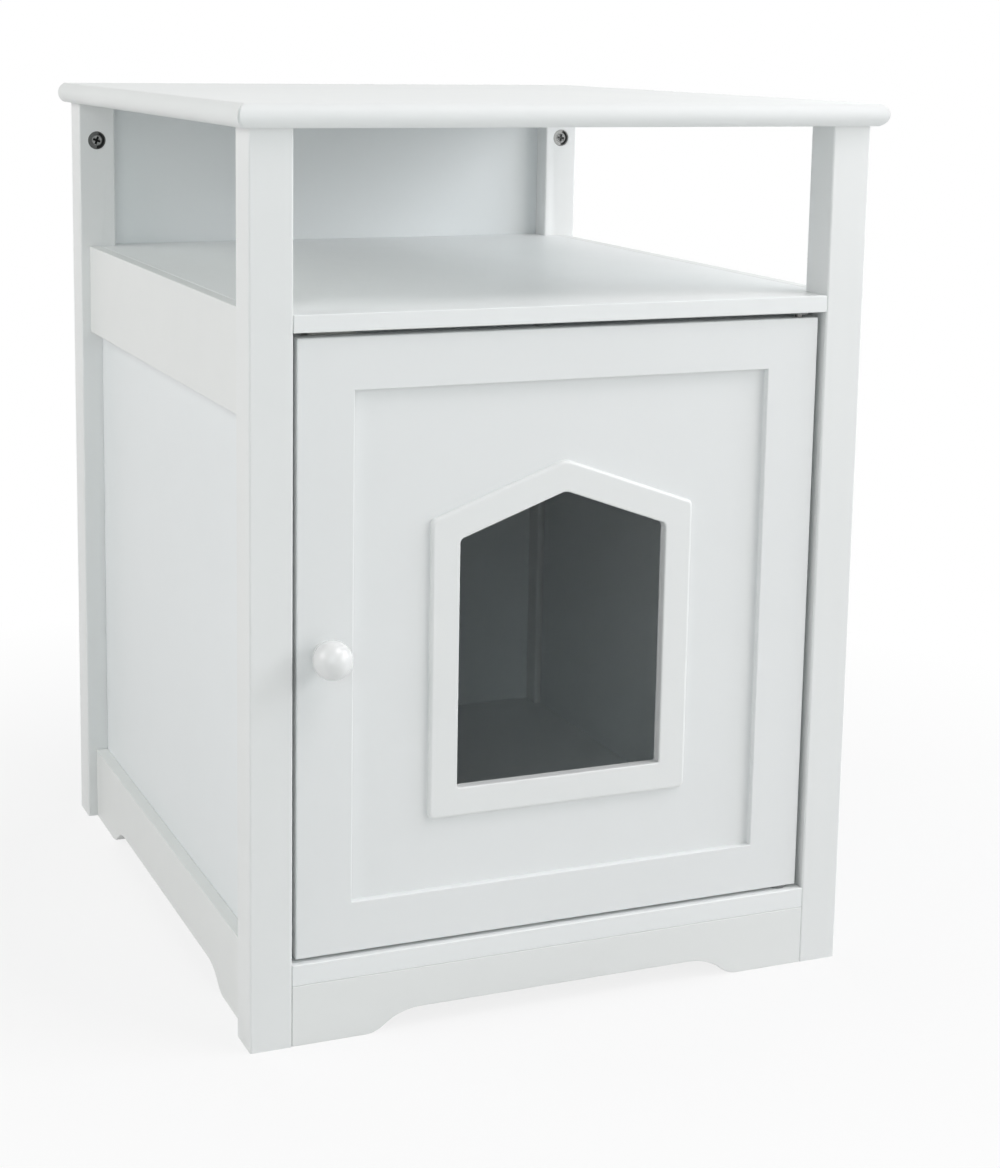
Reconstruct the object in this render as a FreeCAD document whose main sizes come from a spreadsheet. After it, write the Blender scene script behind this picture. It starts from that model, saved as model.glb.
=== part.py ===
import FreeCAD, Part
import math
import os
import re
import Sketcher

# Cat litter box cabinet: a white lacquered board cabinet on four square legs, with an open bay
# under the top board and a closed cabinet below, entered through a house-shaped opening in its door.
# X runs to the right, Y to the back and Z up. The origin lies on the floor, midway between the left
# and right edges of the top board, and between its back edge and the crown of the knob.

doc = FreeCAD.newDocument("cat_litter_cabinet")

# --- Sizes -------------------------------------------------------------------------------------

SIZES = [
    ("overall_width", 480, "over the top board, left to right"),
    ("overall_depth", 530, "over the top board, front to back"),
    ("overall_height", 640, "floor to the top of the top board"),
    ("top_thickness", 16, "top board"),
    ("nose_depth", 5.5, "how far the rounded nose of the top board stands out"),
    ("nose_blend", 3, "radius where the nose runs into the flats"),
    ("side_overhang", 10, "top board beyond the legs, left and right"),
    ("front_overhang", 10, "top board beyond the legs, front"),
    ("back_overhang", 5, "top board beyond the legs, back"),
    ("leg_width", 30, "square leg, side of its section"),
    ("leg_round", 1.5, "eased long edges of the legs"),
    ("shelf_height", 504, "top face of the fixed shelf"),
    ("shelf_thickness", 12, "fixed shelf"),
    ("floor_height", 58.5, "top face of the bottom board"),
    ("floor_thickness", 15, "bottom board"),
    ("rail_inset", 7.5, "side rails behind the legs' outer faces"),
    ("rail_thickness", 10, "side rails"),
    ("upper_rail_height", 73, "side rails under the open bay"),
    ("lower_rail_height", 60.5, "side rails at the floor"),
    ("edge_round", 1, "eased edges of rails, boards and aprons"),
    ("side_panel_thickness", 6, "side panels"),
    ("back_panel_thickness", 5, "back panels"),
    ("back_panel_inset", 6, "back panels in front of the legs' back faces"),
    ("groove_depth", 5, "panel edge inside a leg's groove"),
    ("groove_gap", 0.1, "clearance on each side of a panel in its groove"),
    ("apron_thickness", 12, "front and back aprons"),
    ("arch_rise", 14.5, "height of the ogee arches over the floor"),
    ("ogee_run", 41, "length of one ogee end of an arch"),
    ("ogee_share", 0.66, "share of the ogee taken by its upper, hollow curve"),
    ("apron_foot", 53, "flat foot at each end of an apron"),
    ("rail_foot", 60, "flat foot at each end of a lower rail"),
    ("door_setback", 4, "door face behind the front of the legs"),
    ("door_thickness", 15, "door frame"),
    ("door_side_gap", 4, "door to leg, each side"),
    ("door_top_gap", 4, "door to shelf"),
    ("door_bottom_gap", 2.2, "door to bottom board"),
    ("door_round", 1.8, "eased outer front edges of the door"),
    ("stile_width", 40, "door frame, left and right"),
    ("door_rail_width", 36, "door frame, top and bottom"),
    ("recess_depth", 5, "door panel behind the frame's face"),
    ("recess_round", 1, "eased inner front edge of the door frame"),
    ("rebate_width", 8, "ledge of the door frame that the panel lies on"),
    ("panel_gap", 0.3, "clearance round the door panel and its beads"),
    ("door_panel_thickness", 4, "door panel"),
    ("opening_width", 157, "cat opening, clear width"),
    ("opening_sill", 108, "cat opening, sill above the door's lower edge"),
    ("opening_wall", 176.5, "cat opening, sill to eaves"),
    ("opening_roof", 28.5, "cat opening, eaves to ridge"),
    ("trim_width", 21, "face of the trim ring"),
    ("trim_proud", 4, "trim ring in front of the door panel"),
    ("trim_round", 2.4, "rounded outer front edge of the trim ring"),
    ("trim_inner_round", 1.2, "rounded inner front edge of the trim ring"),
    ("ridge_round", 9, "rounded ridge corner of the opening"),
    ("eaves_round", 4, "rounded eaves corners of the opening"),
    ("sill_round", 1.5, "rounded sill corners of the opening"),
    ("trim_ridge_round", 15, "rounded ridge corner of the trim ring"),
    ("trim_corner_round", 4.5, "rounded other corners of the trim ring"),
    ("collar_wall", 2, "collar of the trim ring inside the panel's cut-out"),
    ("knob_diameter", 27, "knob head"),
    ("knob_length", 29, "knob, door face to crown"),
    ("knob_base", 18, "knob foot on the door"),
    ("knob_foot", 2, "knob foot, thickness of its rim"),
    ("knob_waist", 1, "straight length of the knob's neck"),
    ("knob_neck", 11, "knob neck"),
    ("knob_screw_diameter", 4, "screw into the knob"),
    ("knob_screw_reach", 10, "screw inside the knob"),
    ("pan_head_diameter", 8, "pan head of the knob screw"),
    ("pan_head_height", 2.4, "pan head of the knob screw"),
    ("pivot_from_edge", 12, "pivot axis in from the door's hinge edge"),
    ("pin_diameter", 5, "pivot pins"),
    ("pin_in_door", 15, "pivot pin inside the door"),
    ("pin_in_bush", 6, "pivot pin inside the board"),
    ("pin_seat_gap", 0.1, "play under a pivot pin's end"),
    ("running_gap", 0.05, "radial clearance of a pin that turns"),
    ("snug_gap", 0.02, "radial clearance of what is pressed, glued or screwed in"),
    ("bush_diameter", 9, "pivot bush"),
    ("bush_depth", 8, "pivot bush inside the board"),
    ("bush_flange_diameter", 13, "pivot bush flange"),
    ("bush_flange_thickness", 1.8, "pivot bush flange"),
    ("cam_diameter", 15, "cam lock"),
    ("cam_depth", 12, "cam lock"),
    ("cam_drop", 31, "cam lock's centre below the top board"),
    ("cam_bolt_depth", 6, "cam bolt's axis behind the cam's face"),
    ("cam_slot_width", 2, "cross slot of the cam"),
    ("cam_slot_length", 8, "cross slot of the cam"),
    ("cam_slot_depth", 2, "cross slot of the cam"),
    ("cam_hollow", 8, "hollow of the cam that takes the bolt's head"),
    ("bolt_bore", 8, "bore in the leg for a cam bolt"),
    ("bolt_diameter", 7, "shank and head of the cam bolt"),
    ("bolt_neck", 4, "neck of the cam bolt"),
    ("bolt_head", 4, "length of the cam bolt's head"),
    ("bolt_neck_length", 4, "length of the cam bolt's neck"),
    ("bolt_thread", 5, "thread of the cam bolt in the top board"),
    ("bolt_thread_length", 11, "thread of the cam bolt in the top board"),
    ("large_dowel", 8, "dowels under the top board"),
    ("large_dowel_in_leg", 15, "dowel inside a leg"),
    ("large_dowel_in_top", 10, "dowel inside the top board"),
    ("large_dowel_edge", 8, "dowel axis in from the leg's outer face"),
    ("small_dowel", 6, "dowels of rails, aprons and boards"),
    ("small_dowel_in_leg", 15, "dowel inside a leg"),
    ("small_dowel_in_rail", 15, "dowel inside a rail's or apron's end"),
    ("board_dowel_in_rail", 7, "board dowel inside a rail"),
    ("board_dowel_in_board", 13, "board dowel inside a board"),
    ("board_dowel_pitch", 150, "spacing of the three dowels along a board's side"),
    ("dowel_margin", 18, "rail dowels in from the upper rail's edges"),
    ("dowel_low", 12, "lower dowel above the floor, rails and aprons"),
    ("dowel_high", 32, "upper dowel above the floor, rails and aprons"),
    ("dowel_chamfer", 0.8, "chamfered ends of the dowels"),
    ("dowel_room", 0.5, "room left past a dowel's end"),
    ("nail_diameter", 1.6, "nails of the back panels"),
    ("nail_head", 4, "nail head"),
    ("nail_head_height", 0.8, "nail head"),
    ("nail_length", 20, "nail under its head"),
    ("nail_pitch", 85, "spacing of the nails"),
    ("catch_from_edge", 30, "magnetic catch, middle in from the door's free edge"),
    ("catch_width", 34, "magnetic catch, housing"),
    ("catch_ear", 11, "magnetic catch, screw ear at each end"),
    ("catch_ear_thickness", 2.5, "magnetic catch, screw ear"),
    ("catch_depth", 16, "magnetic catch, front to back"),
    ("catch_height", 17, "magnetic catch, below the shelf"),
    ("magnet_width", 26, "magnet and pole plates"),
    ("magnet_height", 5.4, "magnet between its pole plates"),
    ("magnet_depth", 11, "magnet, front to back"),
    ("pole_thickness", 1.2, "pole plates"),
    ("pole_proud", 1, "pole plates in front of the housing"),
    ("pole_drop", 10.5, "middle of the magnet below the shelf"),
    ("catch_gap", 0.3, "pole plates to strike plate, door shut"),
    ("pocket_gap", 0.1, "clearance of the magnet in its pocket"),
    ("strike_width", 40, "strike plate"),
    ("strike_height", 12, "strike plate"),
    ("strike_thickness", 1.5, "strike plate"),
    ("screw_diameter", 3.5, "wood screws"),
    ("screw_head", 6.6, "wood screw head"),
    ("screw_length", 10, "wood screw under the surface"),
    ("screw_head_height", 1.4, "wood screw's countersunk head"),
    ("drive_width", 0.9, "cross recess of the screws"),
    ("drive_length", 3.4, "cross recess of the screws"),
    ("drive_depth", 0.9, "cross recess of the screws"),
]

# Places that follow from the sizes, each a formula in them.
PLACES = {
    "post_outer": "overall_width/2 - side_overhang",
    "post_inner": "post_outer - leg_width",
    "post_centre": "post_outer - leg_width/2",
    "knob_beyond": "knob_length - front_overhang - door_setback",
    "front_edge": "(knob_beyond - overall_depth)/2",
    "back_edge": "(knob_beyond + overall_depth)/2",
    "front_face": "front_edge + front_overhang",
    "front_inner": "front_face + leg_width",
    "front_centre": "front_face + leg_width/2",
    "back_face": "back_edge - back_overhang",
    "back_inner": "back_face - leg_width",
    "back_centre": "back_face - leg_width/2",
    "legs_middle": "(front_face + back_face)/2",
    "half_span": "(back_inner - front_inner)/2",
    "leg_height": "overall_height - top_thickness",
    "cam_height": "leg_height - cam_drop",
    "shelf_under": "shelf_height - shelf_thickness",
    "shelf_middle": "shelf_height - shelf_thickness/2",
    "floor_under": "floor_height - floor_thickness",
    "floor_middle": "floor_height - floor_thickness/2",
    "rail_outer": "post_outer - rail_inset",
    "rail_inner": "rail_outer - rail_thickness",
    "rail_middle": "rail_outer - rail_thickness/2",
    "upper_rail_under": "shelf_height - upper_rail_height",
    "side_panel_inner": "rail_inner - side_panel_thickness",
    "back_panel_back": "back_face - back_panel_inset",
    "back_panel_front": "back_panel_back - back_panel_thickness",
    "apron_front_middle": "front_face + apron_thickness/2",
    "apron_back_front": "back_panel_back - apron_thickness",
    "apron_back_middle": "back_panel_back - apron_thickness/2",
    "ogee_sum": "(ogee_run^2 + arch_rise^2)/(2*arch_rise)",
    "ogee_upper": "ogee_share*ogee_sum",
    "ogee_lower": "(1 - ogee_share)*ogee_sum",
    "door_front": "front_face + door_setback",
    "door_back": "door_front + door_thickness",
    "door_half": "post_inner - door_side_gap",
    "door_low": "floor_height + door_bottom_gap",
    "door_high": "shelf_under - door_top_gap",
    "recess_half": "door_half - stile_width",
    "recess_low": "door_low + door_rail_width",
    "recess_high": "door_high - door_rail_width",
    "panel_front": "door_front + recess_depth",
    "panel_back": "panel_front + door_panel_thickness",
    "panel_reach": "rebate_width - panel_gap",
    "roof_slope": "opening_roof/(opening_width/2)",
    "sill_height": "door_low + opening_sill",
    "ridge_height": "sill_height + opening_wall + opening_roof",
    "pivot_x": "door_half - pivot_from_edge",
    "pivot_y": "door_front + door_thickness/2",
    "knob_x": "door_half - stile_width/2",
    "knob_z": "(door_low + door_high)/2",
    "catch_x": "catch_from_edge - door_half",
    "pole_height": "shelf_under - pole_drop",
    "strike_face": "door_back + strike_thickness",
    "catch_front": "strike_face + catch_gap + pole_proud",
}

sheet = doc.addObject("Spreadsheet::Sheet", "sizes")
for row, (alias, number, note) in enumerate(SIZES, start=1):
    sheet.set("A%d" % row, alias)
    sheet.set("B%d" % row, str(number))
    sheet.set("C%d" % row, note)
    sheet.setAlias("B%d" % row, alias)
doc.recompute()
ALIASES = {alias for alias, number, note in SIZES}


def bound(text):
    """The expression for text, with every place spelled out and every size read from the sheet."""
    def spell(match):
        word = match.group(0)
        if word in PLACES:
            return "(" + bound(PLACES[word]) + ")"
        return "sizes." + word if word in ALIASES else word
    return re.sub(r"[a-z][a-z_]*[a-z]", spell, str(text))


def size(text):
    """The number, in mm, that text stands for now."""
    number = sheet.evalExpression(bound(text))
    return float(getattr(number, "Value", number))


def signed(sign, text):
    """text, or its negative where sign is -1."""
    return "(%s)" % text if sign > 0 else "-(%s)" % text


# --- Bodies, outlines and features ---------------------------------------------------------------

# Each plane with the axis along its normal, and whether the sketch's normal runs along it (+1).
PLANES = {"XY_Plane": ("z", 1), "XZ_Plane": ("y", -1), "YZ_Plane": ("x", 1)}


def new_body(label, place=("0", "0", "0"), turn=None):
    """A body with its own Label, placed by formulas, that may hold several separate solids."""
    body = doc.addObject("PartDesign::Body", label)
    body.Label = label
    body.AllowCompound = True
    if turn is not None:
        axis, angle = turn
        body.Placement = FreeCAD.Placement(FreeCAD.Vector(), FreeCAD.Rotation(FreeCAD.Vector(*axis), angle))
    for letter, text in zip("xyz", place):
        body.setExpression("Placement.Base." + letter, bound(text))
    return body


def new_sketch(body, plane, level):
    """A sketch on one of the body's own planes, moved to level along that plane's axis."""
    sketch = body.newObject("Sketcher::SketchObject", body.Label + "_sketch")
    sketch.AttachmentSupport = [(origin_plane(body, plane), "")]
    sketch.MapMode = "FlatFace"
    side = PLANES[plane][1]
    sketch.setExpression("AttachmentOffset.Base.z", bound(signed(side, level)))
    return sketch


def origin_plane(body, plane):
    return next(item for item in body.Origin.OriginFeatures if item.Role == plane)


def fix_point(sketch, geometry, point, x, y):
    """Tie one point of a sketch to the formulas x and y."""
    for kind, axis, text in (("DistanceX", -2, x), ("DistanceY", -1, y)):
        if str(text) == "0":
            sketch.addConstraint(Sketcher.Constraint("PointOnObject", geometry, point, axis))
            continue
        index = sketch.addConstraint(Sketcher.Constraint(kind, -1, 1, geometry, point, size(text)))
        sketch.setExpression("Constraints[%d]" % index, bound(text))


def outline(*corners):
    """A closed outline through corners (x, y). A corner (x, y, radius, turn) starts an arc that turns
    left (+1) or right (-1) on its way to the next corner."""
    def draw(sketch):
        spots = [FreeCAD.Vector(size(corner[0]), size(corner[1]), 0) for corner in corners]
        ends = []
        for index, corner in enumerate(corners):
            start, stop = spots[index], spots[(index + 1) % len(spots)]
            if len(corner) == 2:
                side = sketch.addGeometry(Part.LineSegment(start, stop), False)
                ends.append((side, 1, 2))
                continue
            radius, turn = size(corner[2]), corner[3]
            along = stop - start
            left = FreeCAD.Vector(-along.y, along.x, 0).normalize()
            rise = math.sqrt(max(radius ** 2 - (along.Length / 2) ** 2, 0))
            centre = (start + stop) * 0.5 + left * (turn * rise)
            first, last = (start, stop) if turn > 0 else (stop, start)
            angles = [math.atan2(spot.y - centre.y, spot.x - centre.x) for spot in (first, last)]
            circle = Part.Circle(centre, FreeCAD.Vector(0, 0, 1), radius)
            side = sketch.addGeometry(Part.ArcOfCircle(circle, *angles), False)
            ends.append((side, 1, 2) if turn > 0 else (side, 2, 1))
        for index, (side, head, tail) in enumerate(ends):
            following = ends[(index + 1) % len(ends)]
            sketch.addConstraint(Sketcher.Constraint("Coincident", side, tail, following[0], following[1]))
        for (side, head, tail), corner in zip(ends, corners):
            fix_point(sketch, side, head, corner[0], corner[1])
            if len(corner) > 2:
                index = sketch.addConstraint(Sketcher.Constraint("Radius", side, size(corner[2])))
                sketch.setExpression("Constraints[%d]" % index, bound(corner[2]))
    return draw


def rectangle(left, right, low, high):
    return outline((left, low), (right, low), (right, high), (left, high))


def circles(diameter, centres):
    """Equal circles, at centres (x, y)."""
    def draw(sketch):
        for x, y in centres:
            middle = FreeCAD.Vector(size(x), size(y), 0)
            ring = sketch.addGeometry(Part.Circle(middle, FreeCAD.Vector(0, 0, 1), size(diameter) / 2), False)
            fix_point(sketch, ring, 3, x, y)
            index = sketch.addConstraint(Sketcher.Constraint("Diameter", ring, size(diameter)))
            sketch.setExpression("Constraints[%d]" % index, bound(diameter))
    return draw


def extrude(kind, body, plane, level, length, way, *drawings):
    """A Pad or Pocket from level, for length along the plane's axis (way +1) or against it (-1)."""
    sketch = new_sketch(body, plane, level)
    for draw in drawings:
        draw(sketch)
    feature = body.newObject("PartDesign::" + kind, body.Label + "_" + kind.lower())
    feature.Profile = sketch
    feature.setExpression("Length", bound(length))
    along_normal = way * PLANES[plane][1] > 0
    feature.Reversed = along_normal if kind == "Pocket" else not along_normal
    before = body_volume(body, feature)
    doc.recompute()
    change = feature.Shape.Volume - before
    if (kind == "Pad") != (change > 0) or abs(change) < SAME:
        raise RuntimeError("%s of %s changes nothing" % (kind, body.Label))
    body.Tip = feature
    return feature


def body_volume(body, feature):
    """The volume of the body as it was before feature."""
    earlier = [item for item in body.Group if item is not feature and item.Name != feature.Name
               and item.isDerivedFrom("PartDesign::Feature")]
    return earlier[-1].Shape.Volume if earlier else 0.0


def pad(body, plane, level, length, way, *drawings):
    return extrude("Pad", body, plane, level, length, way, *drawings)


def pocket(body, plane, level, length, way, *drawings):
    return extrude("Pocket", body, plane, level, length, way, *drawings)


def revolve(body, draw):
    """A full turn about the body's Z axis of a profile drawn as (radius, height)."""
    sketch = new_sketch(body, "XZ_Plane", "0")
    draw(sketch)
    feature = body.newObject("PartDesign::Revolution", body.Label + "_revolution")
    feature.Profile = sketch
    feature.ReferenceAxis = (sketch, ["V_Axis"])
    feature.Angle = 360
    doc.recompute()
    body.Tip = feature
    return feature


def dress(kind, body, amount, wanted):
    """A Fillet or Chamfer on the edges of the body that wanted picks."""
    base = body.Tip
    names = ["Edge%d" % (index + 1) for index, edge in enumerate(base.Shape.Edges) if wanted(edge)]
    feature = body.newObject("PartDesign::" + kind, body.Label + "_" + kind.lower())
    feature.Base = (base, names)
    feature.setExpression("Radius" if kind == "Fillet" else "Size", bound(amount))
    doc.recompute()
    body.Tip = feature
    return feature


def mirror(body, plane):
    """The body and its mirror image in one of its own planes."""
    originals = [item for item in body.Group if item.isDerivedFrom("PartDesign::Feature")
                 and not item.isDerivedFrom("PartDesign::Transformed")]
    feature = body.newObject("PartDesign::Mirrored", body.Label + "_mirrored")
    feature.TransformMode = "Whole shape"
    feature.Originals = originals
    feature.MirrorPlane = (origin_plane(body, plane), [""])
    doc.recompute()
    body.Tip = feature
    return feature


TOUCH = 0.01  # mm, for picking edges that lie on a line or a plane
NEAR = 1.0  # mm, for picking edges that lie close to an outline
SAME = 1e-6  # for directions and volumes that agree


def runs_along(edge, axis):
    """Whether edge is a straight line along axis (0, 1 or 2)."""
    if not isinstance(edge.Curve, Part.Line):
        return False
    return abs(abs(edge.Curve.Direction[axis]) - 1) < SAME


def at(value, *texts):
    return any(abs(value - size(text)) < TOUCH for text in texts)


def both(*pairs):
    """Every pair (x, y) and its mirror image in x."""
    return [(signed(side, x), y) for x, y in pairs for side in (-1, 1)]


# --- Top board -----------------------------------------------------------------------------------

def make_top_board():
    """A slab with a rounded nose on its left, right and front edges, mitred at the front corners."""
    body = new_body("top_board", ("0", "0", "leg_height"))
    flat = "overall_width/2 - nose_depth"
    radius = "((top_thickness/2)^2 + nose_depth^2)/(2*nose_depth)"
    pad(body, "XZ_Plane", "front_edge", "overall_depth", 1, outline(
        (signed(-1, flat), "0"), (flat, "0", radius, 1),
        (flat, "top_thickness"), (signed(-1, flat), "top_thickness", radius, 1)))
    start = "front_edge + nose_depth"
    beyond = "front_edge - nose_depth"
    pocket(body, "YZ_Plane", "-overall_width", "2*overall_width", 1, outline(
        (start, "2*top_thickness"), (beyond, "2*top_thickness"), (beyond, "-top_thickness"),
        (start, "-top_thickness"), (start, "0", radius, -1), (start, "top_thickness")))
    dress("Fillet", body, "nose_blend", lambda edge: edge.Length > size("overall_width/2")
          and (runs_along(edge, 0) or abs(edge.CenterOfMass.x) > TOUCH)
          and not at(edge.CenterOfMass.y, "back_edge"))
    threads, dowels = top_fixings()
    pocket(body, "XY_Plane", "0", "bolt_thread_length + dowel_room", 1,
           circles("bolt_thread + 2*snug_gap", threads))
    pocket(body, "XY_Plane", "0", "large_dowel_in_top + dowel_room", 1,
           circles("large_dowel + 2*snug_gap", dowels))
    return body


def top_fixings():
    """Centres of the four cam bolts and of the four large dowels, seen from above."""
    bolts = ["front_inner - cam_bolt_depth", "back_inner + cam_bolt_depth"]
    dowels = ["front_face + large_dowel_edge", "back_face - large_dowel_edge"]
    return [both(*[("post_centre", y) for y in rows]) for rows in (bolts, dowels)]


# --- Legs ----------------------------------------------------------------------------------------

def make_leg(label, side, row):
    """A square leg on the left (side -1) or right (+1), in the front (row -1) or back (+1)."""
    centre_y = "front_centre" if row < 0 else "back_centre"
    body = new_body(label, (signed(side, "post_centre"), centre_y, "0"))
    half = "leg_width/2"
    inner_y = signed(-row, half)
    inner_x = signed(-side, half)
    pad(body, "XY_Plane", "0", "leg_height", 1, rectangle("-leg_width/2", half, "-leg_width/2", half))
    dress("Fillet", body, "leg_round", lambda edge: runs_along(edge, 2))
    pocket(body, "XY_Plane", "leg_height", "cam_drop", -1,
           circles("bolt_bore", [("0", signed(-row, half + " - cam_bolt_depth"))]))
    pocket(body, "XY_Plane", "leg_height", "large_dowel_in_leg + dowel_room", -1,
           circles("large_dowel + 2*snug_gap", [("0", signed(row, half + " - large_dowel_edge"))]))
    pocket(body, "XZ_Plane", inner_y, "cam_depth", row,
           circles("cam_diameter + 2*running_gap", [("0", "cam_height")]))
    rail_x = signed(side, "rail_middle - post_centre")
    pocket(body, "XZ_Plane", inner_y, "small_dowel_in_leg + dowel_room", row,
           circles("small_dowel + 2*snug_gap", [(rail_x, z) for z in rail_dowel_heights()]))
    apron_y = ("apron_front_middle" if row < 0 else "apron_back_middle") + " - " + centre_y
    pocket(body, "YZ_Plane", inner_x, "small_dowel_in_leg + dowel_room", side,
           circles("small_dowel + 2*snug_gap", [(apron_y, "dowel_low"), (apron_y, "dowel_high")]))
    pocket(body, "XZ_Plane", inner_y, "groove_depth + groove_gap", row, rectangle(
        signed(side, "side_panel_inner - groove_gap - post_centre"),
        signed(side, "rail_inner + groove_gap - post_centre"), "floor_height", "shelf_under"))
    if row > 0:
        pocket(body, "YZ_Plane", inner_x, "groove_depth + groove_gap", side, rectangle(
            "back_panel_front - groove_gap - back_centre", "back_panel_back + groove_gap - back_centre",
            "floor_under", "leg_height"))
    return body


def rail_dowel_heights():
    return ["upper_rail_under + dowel_margin", "shelf_height - dowel_margin", "dowel_low", "dowel_high"]


# --- Boards between the legs ---------------------------------------------------------------------

def carcass_board(label, under, thickness):
    """A board between the rails, with tongues that reach between the front and the back legs."""
    body = new_body(label, ("0", "0", under))
    pad(body, "XY_Plane", "0", thickness, 1, outline(
        ("-(post_inner)", "front_face"), ("post_inner", "front_face"), ("post_inner", "front_inner"),
        ("rail_inner", "front_inner"), ("rail_inner", "back_inner"), ("post_inner", "back_inner"),
        ("post_inner", "back_panel_front"), ("-(post_inner)", "back_panel_front"),
        ("-(post_inner)", "back_inner"), ("-(rail_inner)", "back_inner"),
        ("-(rail_inner)", "front_inner"), ("-(post_inner)", "front_inner")))
    dress("Fillet", body, "edge_round", lambda edge: runs_along(edge, 0)
          and at(edge.CenterOfMass.y, "front_face"))
    for side in (-1, 1):
        pocket(body, "YZ_Plane", signed(side, "rail_inner"), "board_dowel_in_board + dowel_room", -side,
               circles("small_dowel + 2*snug_gap", [(y, thickness + "/2") for y in board_dowel_places()]))
    pocket(body, "XZ_Plane", "back_panel_front", "nail_length - back_panel_thickness + dowel_room", -1,
           circles("nail_diameter", [(x, thickness + "/2") for x in nail_places()]))
    return body


def board_dowel_places():
    return ["legs_middle - board_dowel_pitch", "legs_middle", "legs_middle + board_dowel_pitch"]


def nail_places():
    return ["-2*nail_pitch", "-(nail_pitch)", "0", "nail_pitch", "2*nail_pitch"]


def make_shelf_board():
    """The shelf that is the floor of the open bay and the roof of the closed cabinet."""
    body = carcass_board("shelf_board", "shelf_under", "shelf_thickness")
    pocket(body, "XY_Plane", "0", "bush_depth + running_gap", 1,
           circles("bush_diameter + 2*snug_gap", [("pivot_x", "pivot_y")]))
    pocket(body, "XY_Plane", "0", "screw_length - catch_ear_thickness", 1,
           circles("screw_diameter", catch_screw_places()))
    return body


def make_bottom_board():
    """The floor of the closed cabinet."""
    body = carcass_board("bottom_board", "floor_under", "floor_thickness")
    pocket(body, "XY_Plane", "floor_thickness", "bush_depth + running_gap", -1,
           circles("bush_diameter + 2*snug_gap", [("pivot_x", "pivot_y")]))
    return body


# --- Rails, aprons and panels --------------------------------------------------------------------

def arched(half, foot, height):
    """The outline of a board on two flat feet, its lower edge an arch with ogee ends."""
    tip = half + " - " + foot
    bend = tip + " - (1 - ogee_share)*ogee_run"
    flat = tip + " - ogee_run"
    bend_height = "(1 - ogee_share)*arch_rise"
    return outline(
        (signed(-1, half), "0"), (signed(-1, tip), "0", "ogee_lower", 1),
        (signed(-1, bend), bend_height, "ogee_upper", -1), (signed(-1, flat), "arch_rise"),
        (flat, "arch_rise", "ogee_upper", -1), (bend, bend_height, "ogee_lower", 1),
        (tip, "0"), (half, "0"), (half, height), (signed(-1, half), height))


def make_side_rails(side, name):
    """The straight rail under the open bay and the arched rail at the floor, on one side."""
    low_x = "rail_inner" if side > 0 else "-(rail_outer)"
    upper = new_body("upper_rail_" + name, (low_x, "legs_middle", "upper_rail_under"))
    pad(upper, "YZ_Plane", "0", "rail_thickness", 1,
        rectangle("-(half_span)", "half_span", "0", "upper_rail_height"))
    lower = new_body("lower_rail_" + name, (low_x, "legs_middle", "0"))
    pad(lower, "YZ_Plane", "0", "rail_thickness", 1, arched("half_span", "rail_foot", "lower_rail_height"))
    outer = "rail_thickness" if side > 0 else "0"
    inner = "0" if side > 0 else "rail_thickness"
    for body, heights, board in (
            (upper, ["dowel_margin", "upper_rail_height - dowel_margin"], "shelf_middle - upper_rail_under"),
            (lower, ["dowel_low", "dowel_high"], "floor_middle")):
        dress("Fillet", body, "edge_round", lambda edge: at(edge.CenterOfMass.x, outer)
              and not runs_along(edge, 2))
        for end in (-1, 1):
            pocket(body, "XZ_Plane", signed(end, "half_span"), "small_dowel_in_rail + dowel_room", -end,
                   circles("small_dowel + 2*snug_gap", [("rail_thickness/2", z) for z in heights]))
        spots = [(y + " - legs_middle", board) for y in board_dowel_places()]
        pocket(body, "YZ_Plane", inner, "board_dowel_in_rail + dowel_room", side,
               circles("small_dowel + 2*snug_gap", spots))
    return upper, lower


def make_apron(label, front):
    """An arched apron under the bottom board, between two legs, with its front face at front."""
    body = new_body(label, ("0", front, "0"))
    pad(body, "XZ_Plane", "0", "apron_thickness", 1, arched("post_inner", "apron_foot", "floor_under"))
    outer = "0" if label == "apron_front" else "apron_thickness"
    dress("Fillet", body, "edge_round", lambda edge: at(edge.CenterOfMass.y, outer)
          and not runs_along(edge, 2) and edge.CenterOfMass.z < size("arch_rise + edge_round"))
    spots = [("apron_thickness/2", z) for z in ("dowel_low", "dowel_high")]
    for side in (-1, 1):
        pocket(body, "YZ_Plane", signed(side, "post_inner"), "small_dowel_in_rail + dowel_room", -side,
               circles("small_dowel + 2*snug_gap", spots))
    return body


def make_side_panel(label, side):
    """A side panel behind the rails, its ends in the grooves of the legs."""
    low_x = "side_panel_inner" if side > 0 else "-(rail_inner)"
    body = new_body(label, (low_x, "legs_middle", "floor_height"))
    reach = "half_span + groove_depth"
    pad(body, "YZ_Plane", "0", "side_panel_thickness", 1,
        rectangle(signed(-1, reach), reach, "0", "shelf_under - floor_height"))
    return body


def make_back_panels():
    """The back of the closed cabinet, nailed to the boards' edges, and the back of the open bay."""
    reach = "post_inner + groove_depth"
    lower = new_body("back_panel_lower", ("0", "back_panel_front", "floor_under"))
    pad(lower, "XZ_Plane", "0", "back_panel_thickness", 1,
        rectangle(signed(-1, reach), reach, "0", "shelf_height - floor_under"))
    rows = ["floor_middle - floor_under", "shelf_middle - floor_under"]
    pocket(lower, "XZ_Plane", "0", "back_panel_thickness", 1,
           circles("nail_diameter", [(x, z) for z in rows for x in nail_places()]))
    upper = new_body("back_panel_upper", ("0", "back_panel_front", "shelf_height"))
    pad(upper, "XZ_Plane", "0", "back_panel_thickness", 1,
        rectangle(signed(-1, reach), reach, "0", "leg_height - shelf_height"))
    return lower, upper


# --- Door ----------------------------------------------------------------------------------------

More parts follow.
